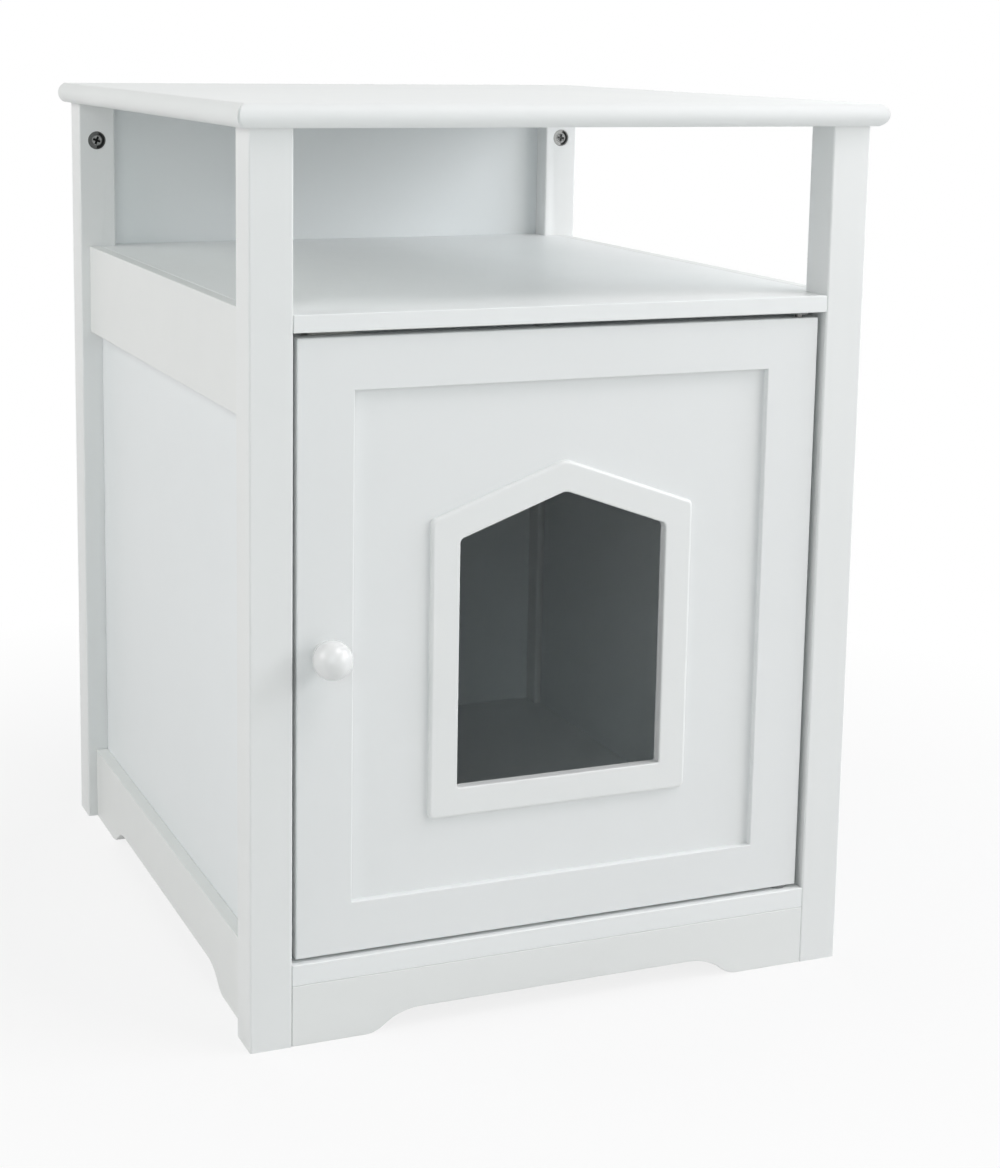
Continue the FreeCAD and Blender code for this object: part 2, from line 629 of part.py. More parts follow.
def make_door_frame():
    """The door's frame: a moulded board, open in its middle, rebated at the back for the panel."""
    body = new_body("door_frame", ("0", "door_front", "0"))
    pad(body, "XZ_Plane", "0", "door_thickness", 1,
        rectangle("-(door_half)", "door_half", "door_low", "door_high"))
    pocket(body, "XZ_Plane", "0", "door_thickness", 1,
           rectangle("-(recess_half)", "recess_half", "recess_low", "recess_high"))
    dress("Fillet", body, "door_round", lambda edge: at(edge.CenterOfMass.y, "0")
          and on_frame_line(edge, "door_half", "door_low", "door_high"))
    dress("Fillet", body, "recess_round", lambda edge: at(edge.CenterOfMass.y, "0")
          and on_frame_line(edge, "recess_half", "recess_low", "recess_high"))
    pocket(body, "XZ_Plane", "recess_depth", "door_thickness - recess_depth", 1,
           rectangle("-(recess_half) - rebate_width", "recess_half + rebate_width",
                     "recess_low - rebate_width", "recess_high + rebate_width"))
    middle = "door_thickness/2"
    pin_hole = circles("pin_diameter + 2*snug_gap", [("pivot_x", middle)])
    pocket(body, "XY_Plane", "door_low", "pin_in_door", 1, pin_hole)
    pocket(body, "XY_Plane", "door_high", "pin_in_door", -1, pin_hole)
    pocket(body, "XZ_Plane", "0", "door_thickness", 1,
           circles("knob_screw_diameter + 2*running_gap", [("-(knob_x)", "knob_z")]))
    pocket(body, "XZ_Plane", "door_thickness", "screw_length - strike_thickness", -1,
           circles("screw_diameter", [("catch_x", "pole_height")]))
    return body


def on_frame_line(edge, half, low, high):
    """Whether edge lies on the rectangle from -half to half and from low to high, seen from the front."""
    spot = edge.CenterOfMass
    return at(abs(spot.x), half) or at(spot.z, low, high) and abs(spot.x) < TOUCH


def house(grow):
    """The outline of the cat opening, a square-shouldered house, moved out by grow on every side."""
    half = "opening_width/2 + " + grow
    ridge = "ridge_height + (" + grow + ")*sqrt(1 + (roof_slope)^2)"
    eaves = ridge + " - (" + half + ")*roof_slope"
    sill = "sill_height - (" + grow + ")"
    left = signed(-1, half)
    return outline((left, sill), (half, sill), (half, eaves), ("0", ridge), (left, eaves))


def round_house(body, grow, depth, ridge, eaves, sill):
    """Round the corners of a house outline that is moved out by grow, and whose middle lies at depth."""
    half, base = "opening_width/2 + " + grow, "sill_height - (" + grow + ")"

    def is_corner(edge):
        return runs_along(edge, 1) and at(edge.CenterOfMass.y, depth)

    def is_low(edge):
        return at(edge.CenterOfMass.z, base)

    dress("Fillet", body, ridge, lambda edge: is_corner(edge) and abs(edge.CenterOfMass.x) < TOUCH)
    dress("Fillet", body, eaves, lambda edge: is_corner(edge) and not is_low(edge)
          and at(abs(edge.CenterOfMass.x), half))
    dress("Fillet", body, sill, lambda edge: is_corner(edge) and is_low(edge)
          and at(abs(edge.CenterOfMass.x), half))


def make_door_panel():
    """The thin panel of the door, with the cut-out for the trim's collar."""
    body = new_body("door_panel", ("0", "panel_front", "0"))
    pad(body, "XZ_Plane", "0", "door_panel_thickness", 1,
        rectangle("-(recess_half) - panel_reach", "recess_half + panel_reach",
                  "recess_low - panel_reach", "recess_high + panel_reach"))
    cut = "collar_wall + panel_gap"
    pocket(body, "XZ_Plane", "0", "door_panel_thickness", 1, house(cut))
    round_house(body, cut, "door_panel_thickness/2", "ridge_round + " + cut, "eaves_round + " + cut,
                "sill_round + " + cut)
    return body


def make_opening_trim():
    """The raised ring round the cat opening, with a collar that lines the panel's cut-out."""
    body = new_body("opening_trim", ("0", "panel_front", "0"))
    pad(body, "XZ_Plane", "0", "trim_proud", -1, house("trim_width"))
    round_house(body, "trim_width", "-(trim_proud)/2", "trim_ridge_round", "trim_corner_round",
                "trim_corner_round")
    dress("Fillet", body, "trim_round", lambda edge: at(edge.CenterOfMass.y, "-(trim_proud)"))
    pad(body, "XZ_Plane", "0", "door_panel_thickness", 1, house("collar_wall"))
    round_house(body, "collar_wall", "door_panel_thickness/2", "ridge_round + collar_wall",
                "eaves_round + collar_wall", "sill_round + collar_wall")
    pocket(body, "XZ_Plane", "-(trim_proud)", "trim_proud + door_panel_thickness", 1, house("0"))
    round_house(body, "0", "(door_panel_thickness - trim_proud)/2",
                "ridge_round", "eaves_round", "sill_round")
    dress("Fillet", body, "trim_inner_round", lambda edge: at(edge.CenterOfMass.y, "-(trim_proud)")
          and inside_ring(edge))
    return body


def inside_ring(edge):
    """Whether edge lies on the inner outline of the trim ring's face."""
    spot = edge.CenterOfMass
    half = size("opening_width/2") + NEAR
    return abs(spot.x) < half and size("sill_height") - NEAR < spot.z < size("ridge_height") + NEAR


def make_panel_beads():
    """Four mitred beads in the door frame's rebate, which hold the panel from behind."""
    body = new_body("panel_beads", ("0", "panel_back", "0"))
    reach = "recess_half + panel_reach"
    low, high = "recess_low - panel_reach", "recess_high + panel_reach"
    bead_low, bead_high = "recess_low", "recess_high"
    gap = "panel_gap"
    level = outline(
        ("-(recess_half) + " + gap, bead_low), ("-(" + reach + ") + " + gap, low),
        (reach + " - " + gap, low), ("recess_half - " + gap, bead_low))
    lintel = outline(
        ("-(recess_half) + " + gap, bead_high), ("recess_half - " + gap, bead_high),
        (reach + " - " + gap, high), ("-(" + reach + ") + " + gap, high))
    uprights = [outline(
        (signed(side, "recess_half"), bead_low + " + " + gap), (signed(side, reach), low + " + " + gap),
        (signed(side, reach), high + " - " + gap), (signed(side, "recess_half"), bead_high + " - " + gap))
        for side in (-1, 1)]
    pad(body, "XZ_Plane", "0", "door_back - panel_back", 1, level, lintel, *uprights)
    return body


def make_knob():
    """The turned knob: a small foot, a waist and a round head, along the body's Z axis."""
    body = new_body("door_knob", ("-(knob_x)", "door_front", "knob_z"), ((1, 0, 0), 90))
    foot, neck, head = "knob_base/2", "knob_neck/2", "knob_diameter/2"
    belly = "knob_length - " + head
    throat = belly + " - (knob_diameter - knob_neck)/2"
    waist = throat + " - knob_waist"
    step, rise = "(knob_base - knob_neck)/2", "(" + waist + " - knob_foot)"
    sweep = "(" + step + "^2 + " + rise + "^2)/(2*" + step + ")"
    revolve(body, outline(
        ("0", "0"), (foot, "0"), (foot, "knob_foot", sweep, -1), (neck, waist),
        (neck, throat, "(knob_diameter - knob_neck)/2", 1), (head, belly, head, 1), ("0", "knob_length")))
    pocket(body, "XY_Plane", "0", "knob_screw_reach + running_gap", 1,
           circles("knob_screw_diameter + 2*snug_gap", [("0", "0")]))
    return body


def cross_slot(body, level, way, depth, length, width):
    """A cross recess in the face at level of a body that turns about Z."""
    arm, half = length + "/2", width + "/2"
    pocket(body, "XY_Plane", level, depth, way, outline(
        ("-(" + arm + ")", "-(" + half + ")"), ("-(" + half + ")", "-(" + half + ")"),
        ("-(" + half + ")", "-(" + arm + ")"), (half, "-(" + arm + ")"),
        (half, "-(" + half + ")"), (arm, "-(" + half + ")"), (arm, half), (half, half),
        (half, arm), ("-(" + half + ")", arm), ("-(" + half + ")", half), ("-(" + arm + ")", half)))


def make_knob_screw():
    """The machine screw that holds the knob, its pan head on the back of the door."""
    body = new_body("knob_screw", ("-(knob_x)", "door_back", "knob_z"), ((1, 0, 0), 90))
    shank, head, rim = "knob_screw_diameter/2", "pan_head_diameter/2", "pan_head_height/2"
    revolve(body, outline(
        ("0", "-(pan_head_height)"), (head + " - " + rim, "-(pan_head_height)", rim, 1),
        (head, signed(-1, rim)), (head, "0"), (shank, "0"),
        (shank, "door_thickness + knob_screw_reach"), ("0", "door_thickness + knob_screw_reach")))
    cross_slot(body, "-(pan_head_height)", 1, "drive_depth", "drive_length", "drive_width")
    return body


def make_pivot_pins():
    """The two pins that the door turns on, in line, one in its lower and one in its upper edge."""
    body = new_body("pivot_pins", ("pivot_x", "pivot_y", "0"))
    one = circles("pin_diameter", [("0", "0")])
    pad(body, "XY_Plane", "floor_height - pin_in_bush", "pin_in_bush + door_bottom_gap + pin_in_door", 1, one)
    pad(body, "XY_Plane", "shelf_under + pin_in_bush", "pin_in_bush + door_top_gap + pin_in_door", -1, one)
    dress("Chamfer", body, "pin_diameter/10", lambda edge: isinstance(edge.Curve, Part.Circle))
    return body


def make_pivot_bushes():
    """A flanged bush in the bottom board and its mirror image in the shelf."""
    body = new_body("pivot_bushes", ("pivot_x", "pivot_y", "(floor_height + shelf_under)/2"))
    seat = "(floor_height - shelf_under)/2"
    bore, sleeve, flange = "pin_diameter/2 + running_gap", "bush_diameter/2", "bush_flange_diameter/2"
    revolve(body, outline(
        ("0", seat + " - bush_depth"), (sleeve, seat + " - bush_depth"), (sleeve, seat), (flange, seat),
        (flange, seat + " + bush_flange_thickness"), (bore, seat + " + bush_flange_thickness"),
        (bore, seat + " - pin_in_bush - pin_seat_gap"), ("0", seat + " - pin_in_bush - pin_seat_gap")))
    mirror(body, "XY_Plane")
    return body


# --- Magnetic catch ------------------------------------------------------------------------------

def catch_screw_places():
    """Centres of the two screws of the catch, seen from above."""
    reach = "(catch_width + catch_ear)/2"
    return [("catch_x - " + reach, "catch_front + catch_depth/2"),
            ("catch_x + " + reach, "catch_front + catch_depth/2")]


def make_catch():
    """The catch under the shelf: a housing on two screws, and a magnet between two pole plates."""
    housing = new_body("catch_housing", ("catch_x", "catch_front", "shelf_under"))
    half = "catch_width/2"
    pad(housing, "XY_Plane", "0", "catch_height", -1, rectangle("-(" + half + ")", half, "0", "catch_depth"))
    pad(housing, "XY_Plane", "0", "catch_ear_thickness", -1,
        rectangle("-(" + half + ") - catch_ear", half + " + catch_ear", "0", "catch_depth"))
    dress("Fillet", housing, "edge_round", lambda edge: runs_along(edge, 2))
    inside = "magnet_width/2 + pocket_gap"
    rise = "magnet_height/2 + pole_thickness + pocket_gap"
    pocket(housing, "XZ_Plane", "0", "magnet_depth + pocket_gap", 1,
           rectangle("-(" + inside + ")", inside, "-(pole_drop) - (" + rise + ")", "-(pole_drop) + " + rise))
    reach = "(catch_width + catch_ear)/2"
    places = [("-(" + reach + ")", "catch_depth/2"), (reach, "catch_depth/2")]
    pocket(housing, "XY_Plane", "0", "catch_ear_thickness", -1,
           circles("screw_diameter + 2*running_gap", places))

    magnet = new_body("catch_magnet", ("catch_x", "catch_front", "pole_height"))
    pad(magnet, "XZ_Plane", "0", "magnet_depth", 1, rectangle(
        "-(magnet_width)/2", "magnet_width/2", "-(magnet_height)/2", "magnet_height/2"))

    poles = new_body("catch_pole_plates", ("catch_x", "catch_front", "pole_height"))
    pad(poles, "XZ_Plane", "-(pole_proud)", "magnet_depth + pole_proud", 1, *[rectangle(
        "-(magnet_width)/2", "magnet_width/2", signed(side, "magnet_height/2"),
        signed(side, "magnet_height/2 + pole_thickness")) for side in (-1, 1)])

    screws = new_body("catch_screws", (
        "catch_x", "catch_front + catch_depth/2", "shelf_under - catch_ear_thickness"))
    for place in (("-(" + reach + ")", "0"), (reach, "0")):
        pad(screws, "XY_Plane", "0", "screw_head_height", -1, circles("screw_head", [place]))
        pad(screws, "XY_Plane", "0", "screw_length", 1, circles("screw_diameter", [place]))
    dress("Fillet", screws, "screw_head_height/2", lambda edge: isinstance(edge.Curve, Part.Circle)
          and at(edge.Curve.Center.z, "-(screw_head_height)"))
    return housing, magnet, poles, screws


def make_strike():
    """The steel plate on the back of the door that the magnet holds, and its countersunk screw."""
    plate = new_body("strike_plate", ("catch_x", "door_back", "pole_height"), ((1, 0, 0), 90))
    pad(plate, "XY_Plane", "0", "strike_thickness", -1,
        rectangle("-(strike_width)/2", "strike_width/2", "-(strike_height)/2", "strike_height/2"))
    dress("Fillet", plate, "edge_round", lambda edge: runs_along(edge, 2))
    sink = plate.newObject("PartDesign::Groove", "strike_plate_groove")
    sketch = new_sketch(plate, "XZ_Plane", "0")
    hole, mouth = "screw_diameter/2 + running_gap", "screw_head/2 + running_gap"
    outline(("0", "-(strike_thickness)"), (mouth, "-(strike_thickness)"),
            (hole, "screw_head_height - strike_thickness"), (hole, "0"), ("0", "0"))(sketch)
    sink.Profile = sketch
    sink.ReferenceAxis = (sketch, ["V_Axis"])
    sink.Angle = 360
    doc.recompute()
    plate.Tip = sink

    screw = new_body("strike_screw", ("catch_x", "strike_face", "pole_height"), ((1, 0, 0), 90))
    shank, head = "screw_diameter/2", "screw_head/2"
    revolve(screw, outline(
        ("0", "0"), (head, "0"), (shank, "screw_head_height"), (shank, "screw_length - 2*screw_head_height"),
        ("0", "screw_length")))
    cross_slot(screw, "0", 1, "drive_depth", "drive_length", "drive_width")
    return plate, screw


# --- Fixings of the carcass ----------------------------------------------------------------------

def make_cam_locks():
    """Four cam locks, one in the inner face of each leg, flush with it."""
    body = new_body("cam_locks", ("0", "legs_middle", "cam_height"))
    face = "half_span"
    pad(body, "XZ_Plane", face, "cam_depth", 1, circles("cam_diameter", [("post_centre", "0")]))
    arm, half = "cam_slot_length/2", "cam_slot_width/2"
    pocket(body, "XZ_Plane", face, "cam_slot_depth", 1, outline(
        ("post_centre - " + arm, "-(" + half + ")"), ("post_centre - " + half, "-(" + half + ")"),
        ("post_centre - " + half, "-(" + arm + ")"), ("post_centre + " + half, "-(" + arm + ")"),
        ("post_centre + " + half, "-(" + half + ")"), ("post_centre + " + arm, "-(" + half + ")"),
        ("post_centre + " + arm, half), ("post_centre + " + half, half),
        ("post_centre + " + half, arm), ("post_centre - " + half, arm),
        ("post_centre - " + half, half), ("post_centre - " + arm, half)))
    pocket(body, "XZ_Plane", face + " + cam_bolt_depth - cam_hollow/2", "cam_hollow", 1, rectangle(
        "post_centre - cam_hollow/2", "post_centre + cam_hollow/2",
        "-(bolt_head)/2 - dowel_room", "cam_diameter"))
    mirror_quarters(body)
    return body


def mirror_quarters(body):
    """Mirror what stands at the back right to the left, and then both to the front."""
    mirror(body, "YZ_Plane")
    mirror(body, "XZ_Plane")


def make_cam_bolts():
    """Four cam bolts, screwed up into the top board, their heads in the cam locks."""
    body = new_body("cam_bolts", ("0", "legs_middle", "cam_height"))
    spot = [("post_centre", "half_span + cam_bolt_depth")]
    head_top = "bolt_head/2"
    neck_top = head_top + " + bolt_neck_length"
    pad(body, "XY_Plane", "-(bolt_head)/2", "bolt_head", 1, circles("bolt_diameter", spot))
    pad(body, "XY_Plane", head_top, "bolt_neck_length", 1, circles("bolt_neck", spot))
    pad(body, "XY_Plane", neck_top, "cam_drop - (" + neck_top + ")", 1, circles("bolt_diameter", spot))
    pad(body, "XY_Plane", "cam_drop", "bolt_thread_length", 1, circles("bolt_thread", spot))
    mirror_quarters(body)
    return body


def make_dowels():
    """The wooden dowels: under the top, in the ends of rails and aprons, and beside the boards."""
    tops = new_body("top_dowels", ("0", "0", "leg_height - large_dowel_in_leg"))
    pad(tops, "XY_Plane", "0", "large_dowel_in_leg + large_dowel_in_top", 1,
        circles("large_dowel", top_fixings()[1]))

    length = "small_dowel_in_leg + small_dowel_in_rail"
    rails = new_body("rail_dowels", ("0", "legs_middle", "0"))
    ends = both(*[("rail_middle", z) for z in rail_dowel_heights()])
    for end in (-1, 1):
        pad(rails, "XZ_Plane", signed(end, "half_span - small_dowel_in_rail"), length, end,
            circles("small_dowel", ends))

    aprons = new_body("apron_dowels")
    spots = [(y, z) for y in ("apron_front_middle", "apron_back_middle") for z in ("dowel_low", "dowel_high")]
    for side in (-1, 1):
        pad(aprons, "YZ_Plane", signed(side, "post_inner - small_dowel_in_rail"), length, side,
            circles("small_dowel", spots))

    boards = new_body("board_dowels")
    spots = [(y, z) for y in board_dowel_places() for z in ("floor_middle", "shelf_middle")]
    for side in (-1, 1):
        pad(boards, "YZ_Plane", signed(side, "rail_inner - board_dowel_in_board"),
            "board_dowel_in_board + board_dowel_in_rail", side, circles("small_dowel", spots))

    for body in (tops, rails, aprons, boards):
        dress("Chamfer", body, "dowel_chamfer", lambda edge: isinstance(edge.Curve, Part.Circle))
    return tops, rails, aprons, boards


def make_panel_nails():
    """Two rows of nails through the lower back panel, into the bottom board and the shelf."""
    body = new_body("panel_nails", ("0", "back_panel_back", "0"))
    spots = [(x, z) for z in ("floor_middle", "shelf_middle") for x in nail_places()]
    pad(body, "XZ_Plane", "0", "nail_length", -1, circles("nail_diameter - 2*snug_gap", spots))
    pad(body, "XZ_Plane", "0", "nail_head_height", 1, circles("nail_head", spots))
    return body


# --- The cabinet ---------------------------------------------------------------------------------

def make_cabinet():
    """Every sub-part of the cabinet, in the order in which it is put together."""
    parts = [make_top_board()]
    for label, side, row in (("leg_front_left", -1, -1), ("leg_front_right", 1, -1),
                             ("leg_back_left", -1, 1), ("leg_back_right", 1, 1)):
        parts.append(make_leg(label, side, row))
    parts += [make_shelf_board(), make_bottom_board()]
    parts += [make_apron("apron_front", "front_face"), make_apron("apron_back", "apron_back_front")]
    parts += [*make_side_rails(-1, "left"), *make_side_rails(1, "right")]
    parts += [make_side_panel("side_panel_left", -1), make_side_panel("side_panel_right", 1)]
    parts += make_back_panels()
    parts += [make_door_frame(), make_door_panel(), make_opening_trim(), make_panel_beads()]
    parts += [make_knob(), make_knob_screw(), make_pivot_pins(), make_pivot_bushes()]
    parts += [*make_catch(), *make_strike()]
    parts += [make_cam_locks(), make_cam_bolts(), *make_dowels(), make_panel_nails()]
    return parts


def check(parts):
    """Stop if any object of the document failed or any sub-part is not a sound solid."""
    for item in doc.Objects:
        if "Invalid" in item.State or "Error" in item.State:
            raise RuntimeError("%s (%s) failed" % (item.Name, item.Label))
    for part in parts:
        if part.Shape.isNull() or not part.Shape.isValid() or not part.Shape.Solids:
            raise RuntimeError("%s has no sound shape" % part.Label)


parts = make_cabinet()
doc.recompute()
check(parts)
os.makedirs("parts", exist_ok=True)
for part in parts:
    part.Shape.exportStep("parts/%s.step" % part.Label)
    print("%-20s %2d solids  %10.1f mm3" % (part.Label, len(part.Shape.Solids), part.Shape.Volume))
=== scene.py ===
import bpy
import math
import numpy as np
from mathutils import Matrix, Vector


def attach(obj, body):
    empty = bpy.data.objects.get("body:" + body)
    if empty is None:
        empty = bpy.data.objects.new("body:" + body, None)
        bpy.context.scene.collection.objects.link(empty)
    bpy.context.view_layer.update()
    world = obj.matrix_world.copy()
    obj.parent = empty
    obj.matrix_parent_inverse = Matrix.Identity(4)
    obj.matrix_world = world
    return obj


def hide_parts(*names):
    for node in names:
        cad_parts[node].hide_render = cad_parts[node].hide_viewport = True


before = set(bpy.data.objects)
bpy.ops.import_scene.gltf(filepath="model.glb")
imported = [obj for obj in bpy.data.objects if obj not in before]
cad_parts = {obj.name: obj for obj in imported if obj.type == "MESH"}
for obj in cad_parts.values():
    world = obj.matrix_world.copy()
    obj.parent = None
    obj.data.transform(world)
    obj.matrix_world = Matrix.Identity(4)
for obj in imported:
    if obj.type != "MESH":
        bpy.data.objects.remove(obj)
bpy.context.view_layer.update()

scene = bpy.context.scene
scene.view_settings.view_transform = "Standard"

photo_width, photo_height = 1000, 1168
camera_place = Vector((-0.63288, -1.57048, 0.68200))
camera_yaw, camera_pitch, camera_roll = map(math.radians, (-22.11, -9.49, 0.76))
focal_pixels, sensor_width = 2168.1, 36.0
centre_x, centre_y = 442.6, 400.0
floor_reach, floor_tone = 12.0, 0.72
# distances from the origin at which the floor starts to fade to white and is white, and how white
# it is from the start
fade_start, fade_end, fade_least = 0.35, 0.9, 0.82
dome_strength = 0.15
# each soft box: its place, the height on the cabinet's axis that it faces, its size, watts, colour
soft_boxes = {
    "high_front": ((0.9, -1.1, 2.5), 0.4, 1.2, 18.5, (1.0, 0.95, 0.95)),
    "right_side": ((2.7, -0.2, 1.5), 0.4, 1.6, 16, (0.95, 0.96, 1.0)),
    "right_mid": ((2.3, -1.0, 1.6), 0.4, 1.2, 25, (0.93, 0.96, 1.0)),
    "right_front": ((2.0, -2.2, 1.1), 0.4, 1.4, 18.5, (1.0, 0.98, 0.96)),
    "right_back": ((1.9, 1.3, 1.7), 0.5, 1.4, 9, (0.93, 1.0, 0.97)),
    "left_back": ((-2.2, 0.7, 2.1), 0.5, 1.4, 19, (0.94, 1.0, 0.95)),
    "left_side": ((-2.7, -0.3, 1.4), 0.4, 1.6, 20, (1.0, 0.93, 0.95)),
    "left_front": ((-0.9, -2.0, 1.2), 0.4, 1.2, 5.3, (0.85, 0.98, 1.0)),
    "low_left_front": ((-1.3, -1.8, 0.8), 0.4, 1.2, 4.6, (0.95, 1.0, 0.98)),
}


def add_camera():
    """A camera at camera_place that looks along +Y turned by its yaw, then its pitch and its roll."""
    data = bpy.data.cameras.new("camera")
    camera = bpy.data.objects.new("camera", data)
    scene.collection.objects.link(camera)
    ahead = Vector((-math.sin(camera_yaw) * math.cos(camera_pitch),
                    math.cos(camera_yaw) * math.cos(camera_pitch), math.sin(camera_pitch)))
    level = ahead.cross(Vector((0, 0, 1))).normalized()
    upright = level.cross(ahead)
    right = level * math.cos(camera_roll) + upright * math.sin(camera_roll)
    up = upright * math.cos(camera_roll) - level * math.sin(camera_roll)
    turn = Matrix((right, up, -ahead)).transposed().to_4x4()
    camera.matrix_world = Matrix.Translation(camera_place) @ turn
    data.sensor_width = sensor_width
    data.lens = focal_pixels * sensor_width / photo_height
    data.shift_x = (photo_width / 2 - centre_x) / photo_height
    data.shift_y = (centre_y - photo_height / 2) / photo_height
    data.clip_start, data.clip_end = 0.05, 50.0
    scene.camera = camera


def add_softbox(name, place, aim_height, size, watts, colour):
    """A square lamp at place that faces the cabinet's axis at aim_height."""
    data = bpy.data.lights.new(name, "AREA")
    data.size, data.energy, data.color = size, watts, colour
    lamp = bpy.data.objects.new(name, data)
    lamp.location = place
    facing = Vector((0, 0, aim_height)) - Vector(place)
    lamp.rotation_euler = facing.to_track_quat("-Z", "Y").to_euler()
    scene.collection.objects.link(lamp)


def feed(tree, socket, value):
    """Gives an input its value: a link from an output, or a constant."""
    if isinstance(value, bpy.types.NodeSocket):
        tree.links.new(value, socket)
    else:
        socket.default_value = value


def add_node(tree, kind, **inputs):
    """A node of a kind, with its inputs fed by their names, written with _ for a space."""
    node = tree.nodes.new(kind)
    for label, value in inputs.items():
        feed(tree, node.inputs[label.replace("_", " ")], value)
    return node


def combine(tree, kind, operation, first, second):
    """A Math or Vector Math node of two operands."""
    node = tree.nodes.new(kind)
    node.operation = operation
    feed(tree, node.inputs[0], first)
    feed(tree, node.inputs[1], second)
    return node


def show(tree, kind, share, lit, seen):
    """Ends a world's or a material's tree in a share of the shader seen and the rest of lit."""
    mix = add_node(tree, "ShaderNodeMixShader", Fac=share)
    feed(tree, mix.inputs[1], lit)
    feed(tree, mix.inputs[2], seen)
    add_node(tree, kind, Surface=mix.outputs["Shader"])


def seen_ray(tree):
    """A value that is 1 for what the camera sees, straight, mirrored or through glass, else 0."""
    ray = tree.nodes.new("ShaderNodeLightPath").outputs
    either = combine(tree, "ShaderNodeMath", "MAXIMUM", ray["Is Camera Ray"], ray["Is Glossy Ray"])
    return combine(tree, "ShaderNodeMath", "MAXIMUM", either.outputs["Value"],
                   ray["Is Transmission Ray"]).outputs["Value"]


def add_dome():
    """An even dome of light, seen as plain white by the camera and in reflections."""
    scene.world = bpy.data.worlds.new("dome")
    scene.world.use_nodes = True
    tree = scene.world.node_tree
    tree.nodes.clear()
    light = add_node(tree, "ShaderNodeBackground", Color=(1, 1, 1, 1), Strength=dome_strength)
    white = add_node(tree, "ShaderNodeBackground", Color=(1, 1, 1, 1))
    show(tree, "ShaderNodeOutputWorld", seen_ray(tree), light.outputs["Background"],
         white.outputs["Background"])


def add_floor():
    """A pale floor, white to the camera away from the cabinet, that keeps a faint shadow under it."""
    mesh = bpy.data.meshes.new("floor")
    r = floor_reach
    mesh.from_pydata([(-r, -r, 0), (r, -r, 0), (r, r, 0), (-r, r, 0)], [], [(0, 1, 2, 3)])
    floor = bpy.data.objects.new("floor", mesh)
    scene.collection.objects.link(floor)
    material = bpy.data.materials.new("floor")
    material.use_nodes = True
    tree = material.node_tree
    tree.nodes.clear()
    pale = add_node(tree, "ShaderNodeBsdfDiffuse", Color=(floor_tone, floor_tone, floor_tone, 1))
    white = tree.nodes.new("ShaderNodeEmission")
    far = tree.nodes.new("ShaderNodeVectorMath")
    far.operation = "LENGTH"
    feed(tree, far.inputs[0], tree.nodes.new("ShaderNodeTexCoord").outputs["Object"])
    fade = add_node(tree, "ShaderNodeMapRange", Value=far.outputs["Value"], From_Min=fade_start,
                    From_Max=fade_end, To_Min=fade_least, To_Max=1.0)
    share = combine(tree, "ShaderNodeMath", "MULTIPLY", fade.outputs["Result"], seen_ray(tree))
    show(tree, "ShaderNodeOutputMaterial", share.outputs["Value"], pale.outputs["BSDF"],
         white.outputs["Emission"])
    mesh.materials.append(material)


add_camera()
add_dome()
for name, values in soft_boxes.items():
    add_softbox(name, *values)
add_floor()


# --- Top board -----------------------------------------------------------------------------------
# A slab of fibre board with a rounded nose on three edges, mitred at the front corners, sprayed
# white and sanded between coats. It is drawn down on the legs by cam bolts from below.
import bmesh

mm = 0.001
tau = 2 * math.pi
seam = 0.001 * mm


def wrap(rows, columns, close_rows=False, close_columns=False):
    """Quads that join rows x columns points, given row after row, closed round either way or not."""
    i = np.arange(rows if close_rows else rows - 1)[:, None]
    j = np.arange(columns if close_columns else columns - 1)[None, :]
    below, beside = (i + 1) % rows, (j + 1) % columns
    quads = [i * columns + j, i * columns + beside, below * columns + beside, below * columns + j]
    return np.stack(quads, -1).reshape(-1, 4).tolist()


def finish_mesh(mesh, crease):
    """Merges the points of seams and poles, turns the faces outwards and shades them smooth, apart
    from edges of more than crease degrees."""
    work = bmesh.new()
    work.from_mesh(mesh)
    bmesh.ops.remove_doubles(work, verts=work.verts, dist=seam)
    bmesh.ops.recalc_face_normals(work, faces=work.faces)
    work.to_mesh(mesh)
    work.free()
    mesh.polygons.foreach_set("use_smooth", np.ones(len(mesh.polygons), dtype=bool))
    mesh.set_sharp_from_angle(angle=math.radians(crease))


def place_piece(name, mesh, body, stands_for):
    """An object for a finished mesh, that rides on body in place of the nodes it stands for. Its
    normals are weighted by the faces' sizes, so that a flat stays flat beside a small round."""
    piece = bpy.data.objects.new(name, mesh)
    scene.collection.objects.link(piece)
    weigh = piece.modifiers.new("flats_rule", "WEIGHTED_NORMAL")
    weigh.keep_sharp, weigh.weight = True, 100
    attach(piece, body)
    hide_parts(*stands_for)
    return piece


def add_piece(name, points, faces, body, material, stands_for, crease=32, painted_shade=None):
    """A piece from points in millimetres and faces, of one material. A share of painted shade from 0
    to 1 for each point, if given, is kept as an attribute that the material may read."""
    mesh = bpy.data.meshes.new(name)
    mesh.from_pydata((np.reshape(points, (-1, 3)) * mm).tolist(), [], faces)
    if painted_shade is not None:
        mesh.attributes.new("painted_shade", "FLOAT", "POINT").data.foreach_set("value", np.ravel(painted_shade))
    finish_mesh(mesh, crease)
    mesh.materials.append(material)
    return place_piece(name, mesh, body, stands_for)


def new_skin(name, **more):
    """An empty node group that turns a colour, its shade and more inputs, given with their kinds,
    into a colour, a roughness and a height. Returns it with its ends and the spot on the object."""
    group = bpy.data.node_groups.new(name, "ShaderNodeTree")
    for label, kind in {"Colour": "Color", "Shade": "Color", **more}.items():
        group.interface.new_socket(label.replace("_", " "), in_out="INPUT", socket_type="NodeSocket" + kind)
    for label, kind in (("Colour", "Color"), ("Roughness", "Float"), ("Height", "Float")):
        group.interface.new_socket(label, in_out="OUTPUT", socket_type="NodeSocket" + kind)
    given, made = group.nodes.new("NodeGroupInput").outputs, group.nodes.new("NodeGroupOutput").inputs
    return group, given, made, group.nodes.new("ShaderNodeTexCoord").outputs["Object"]


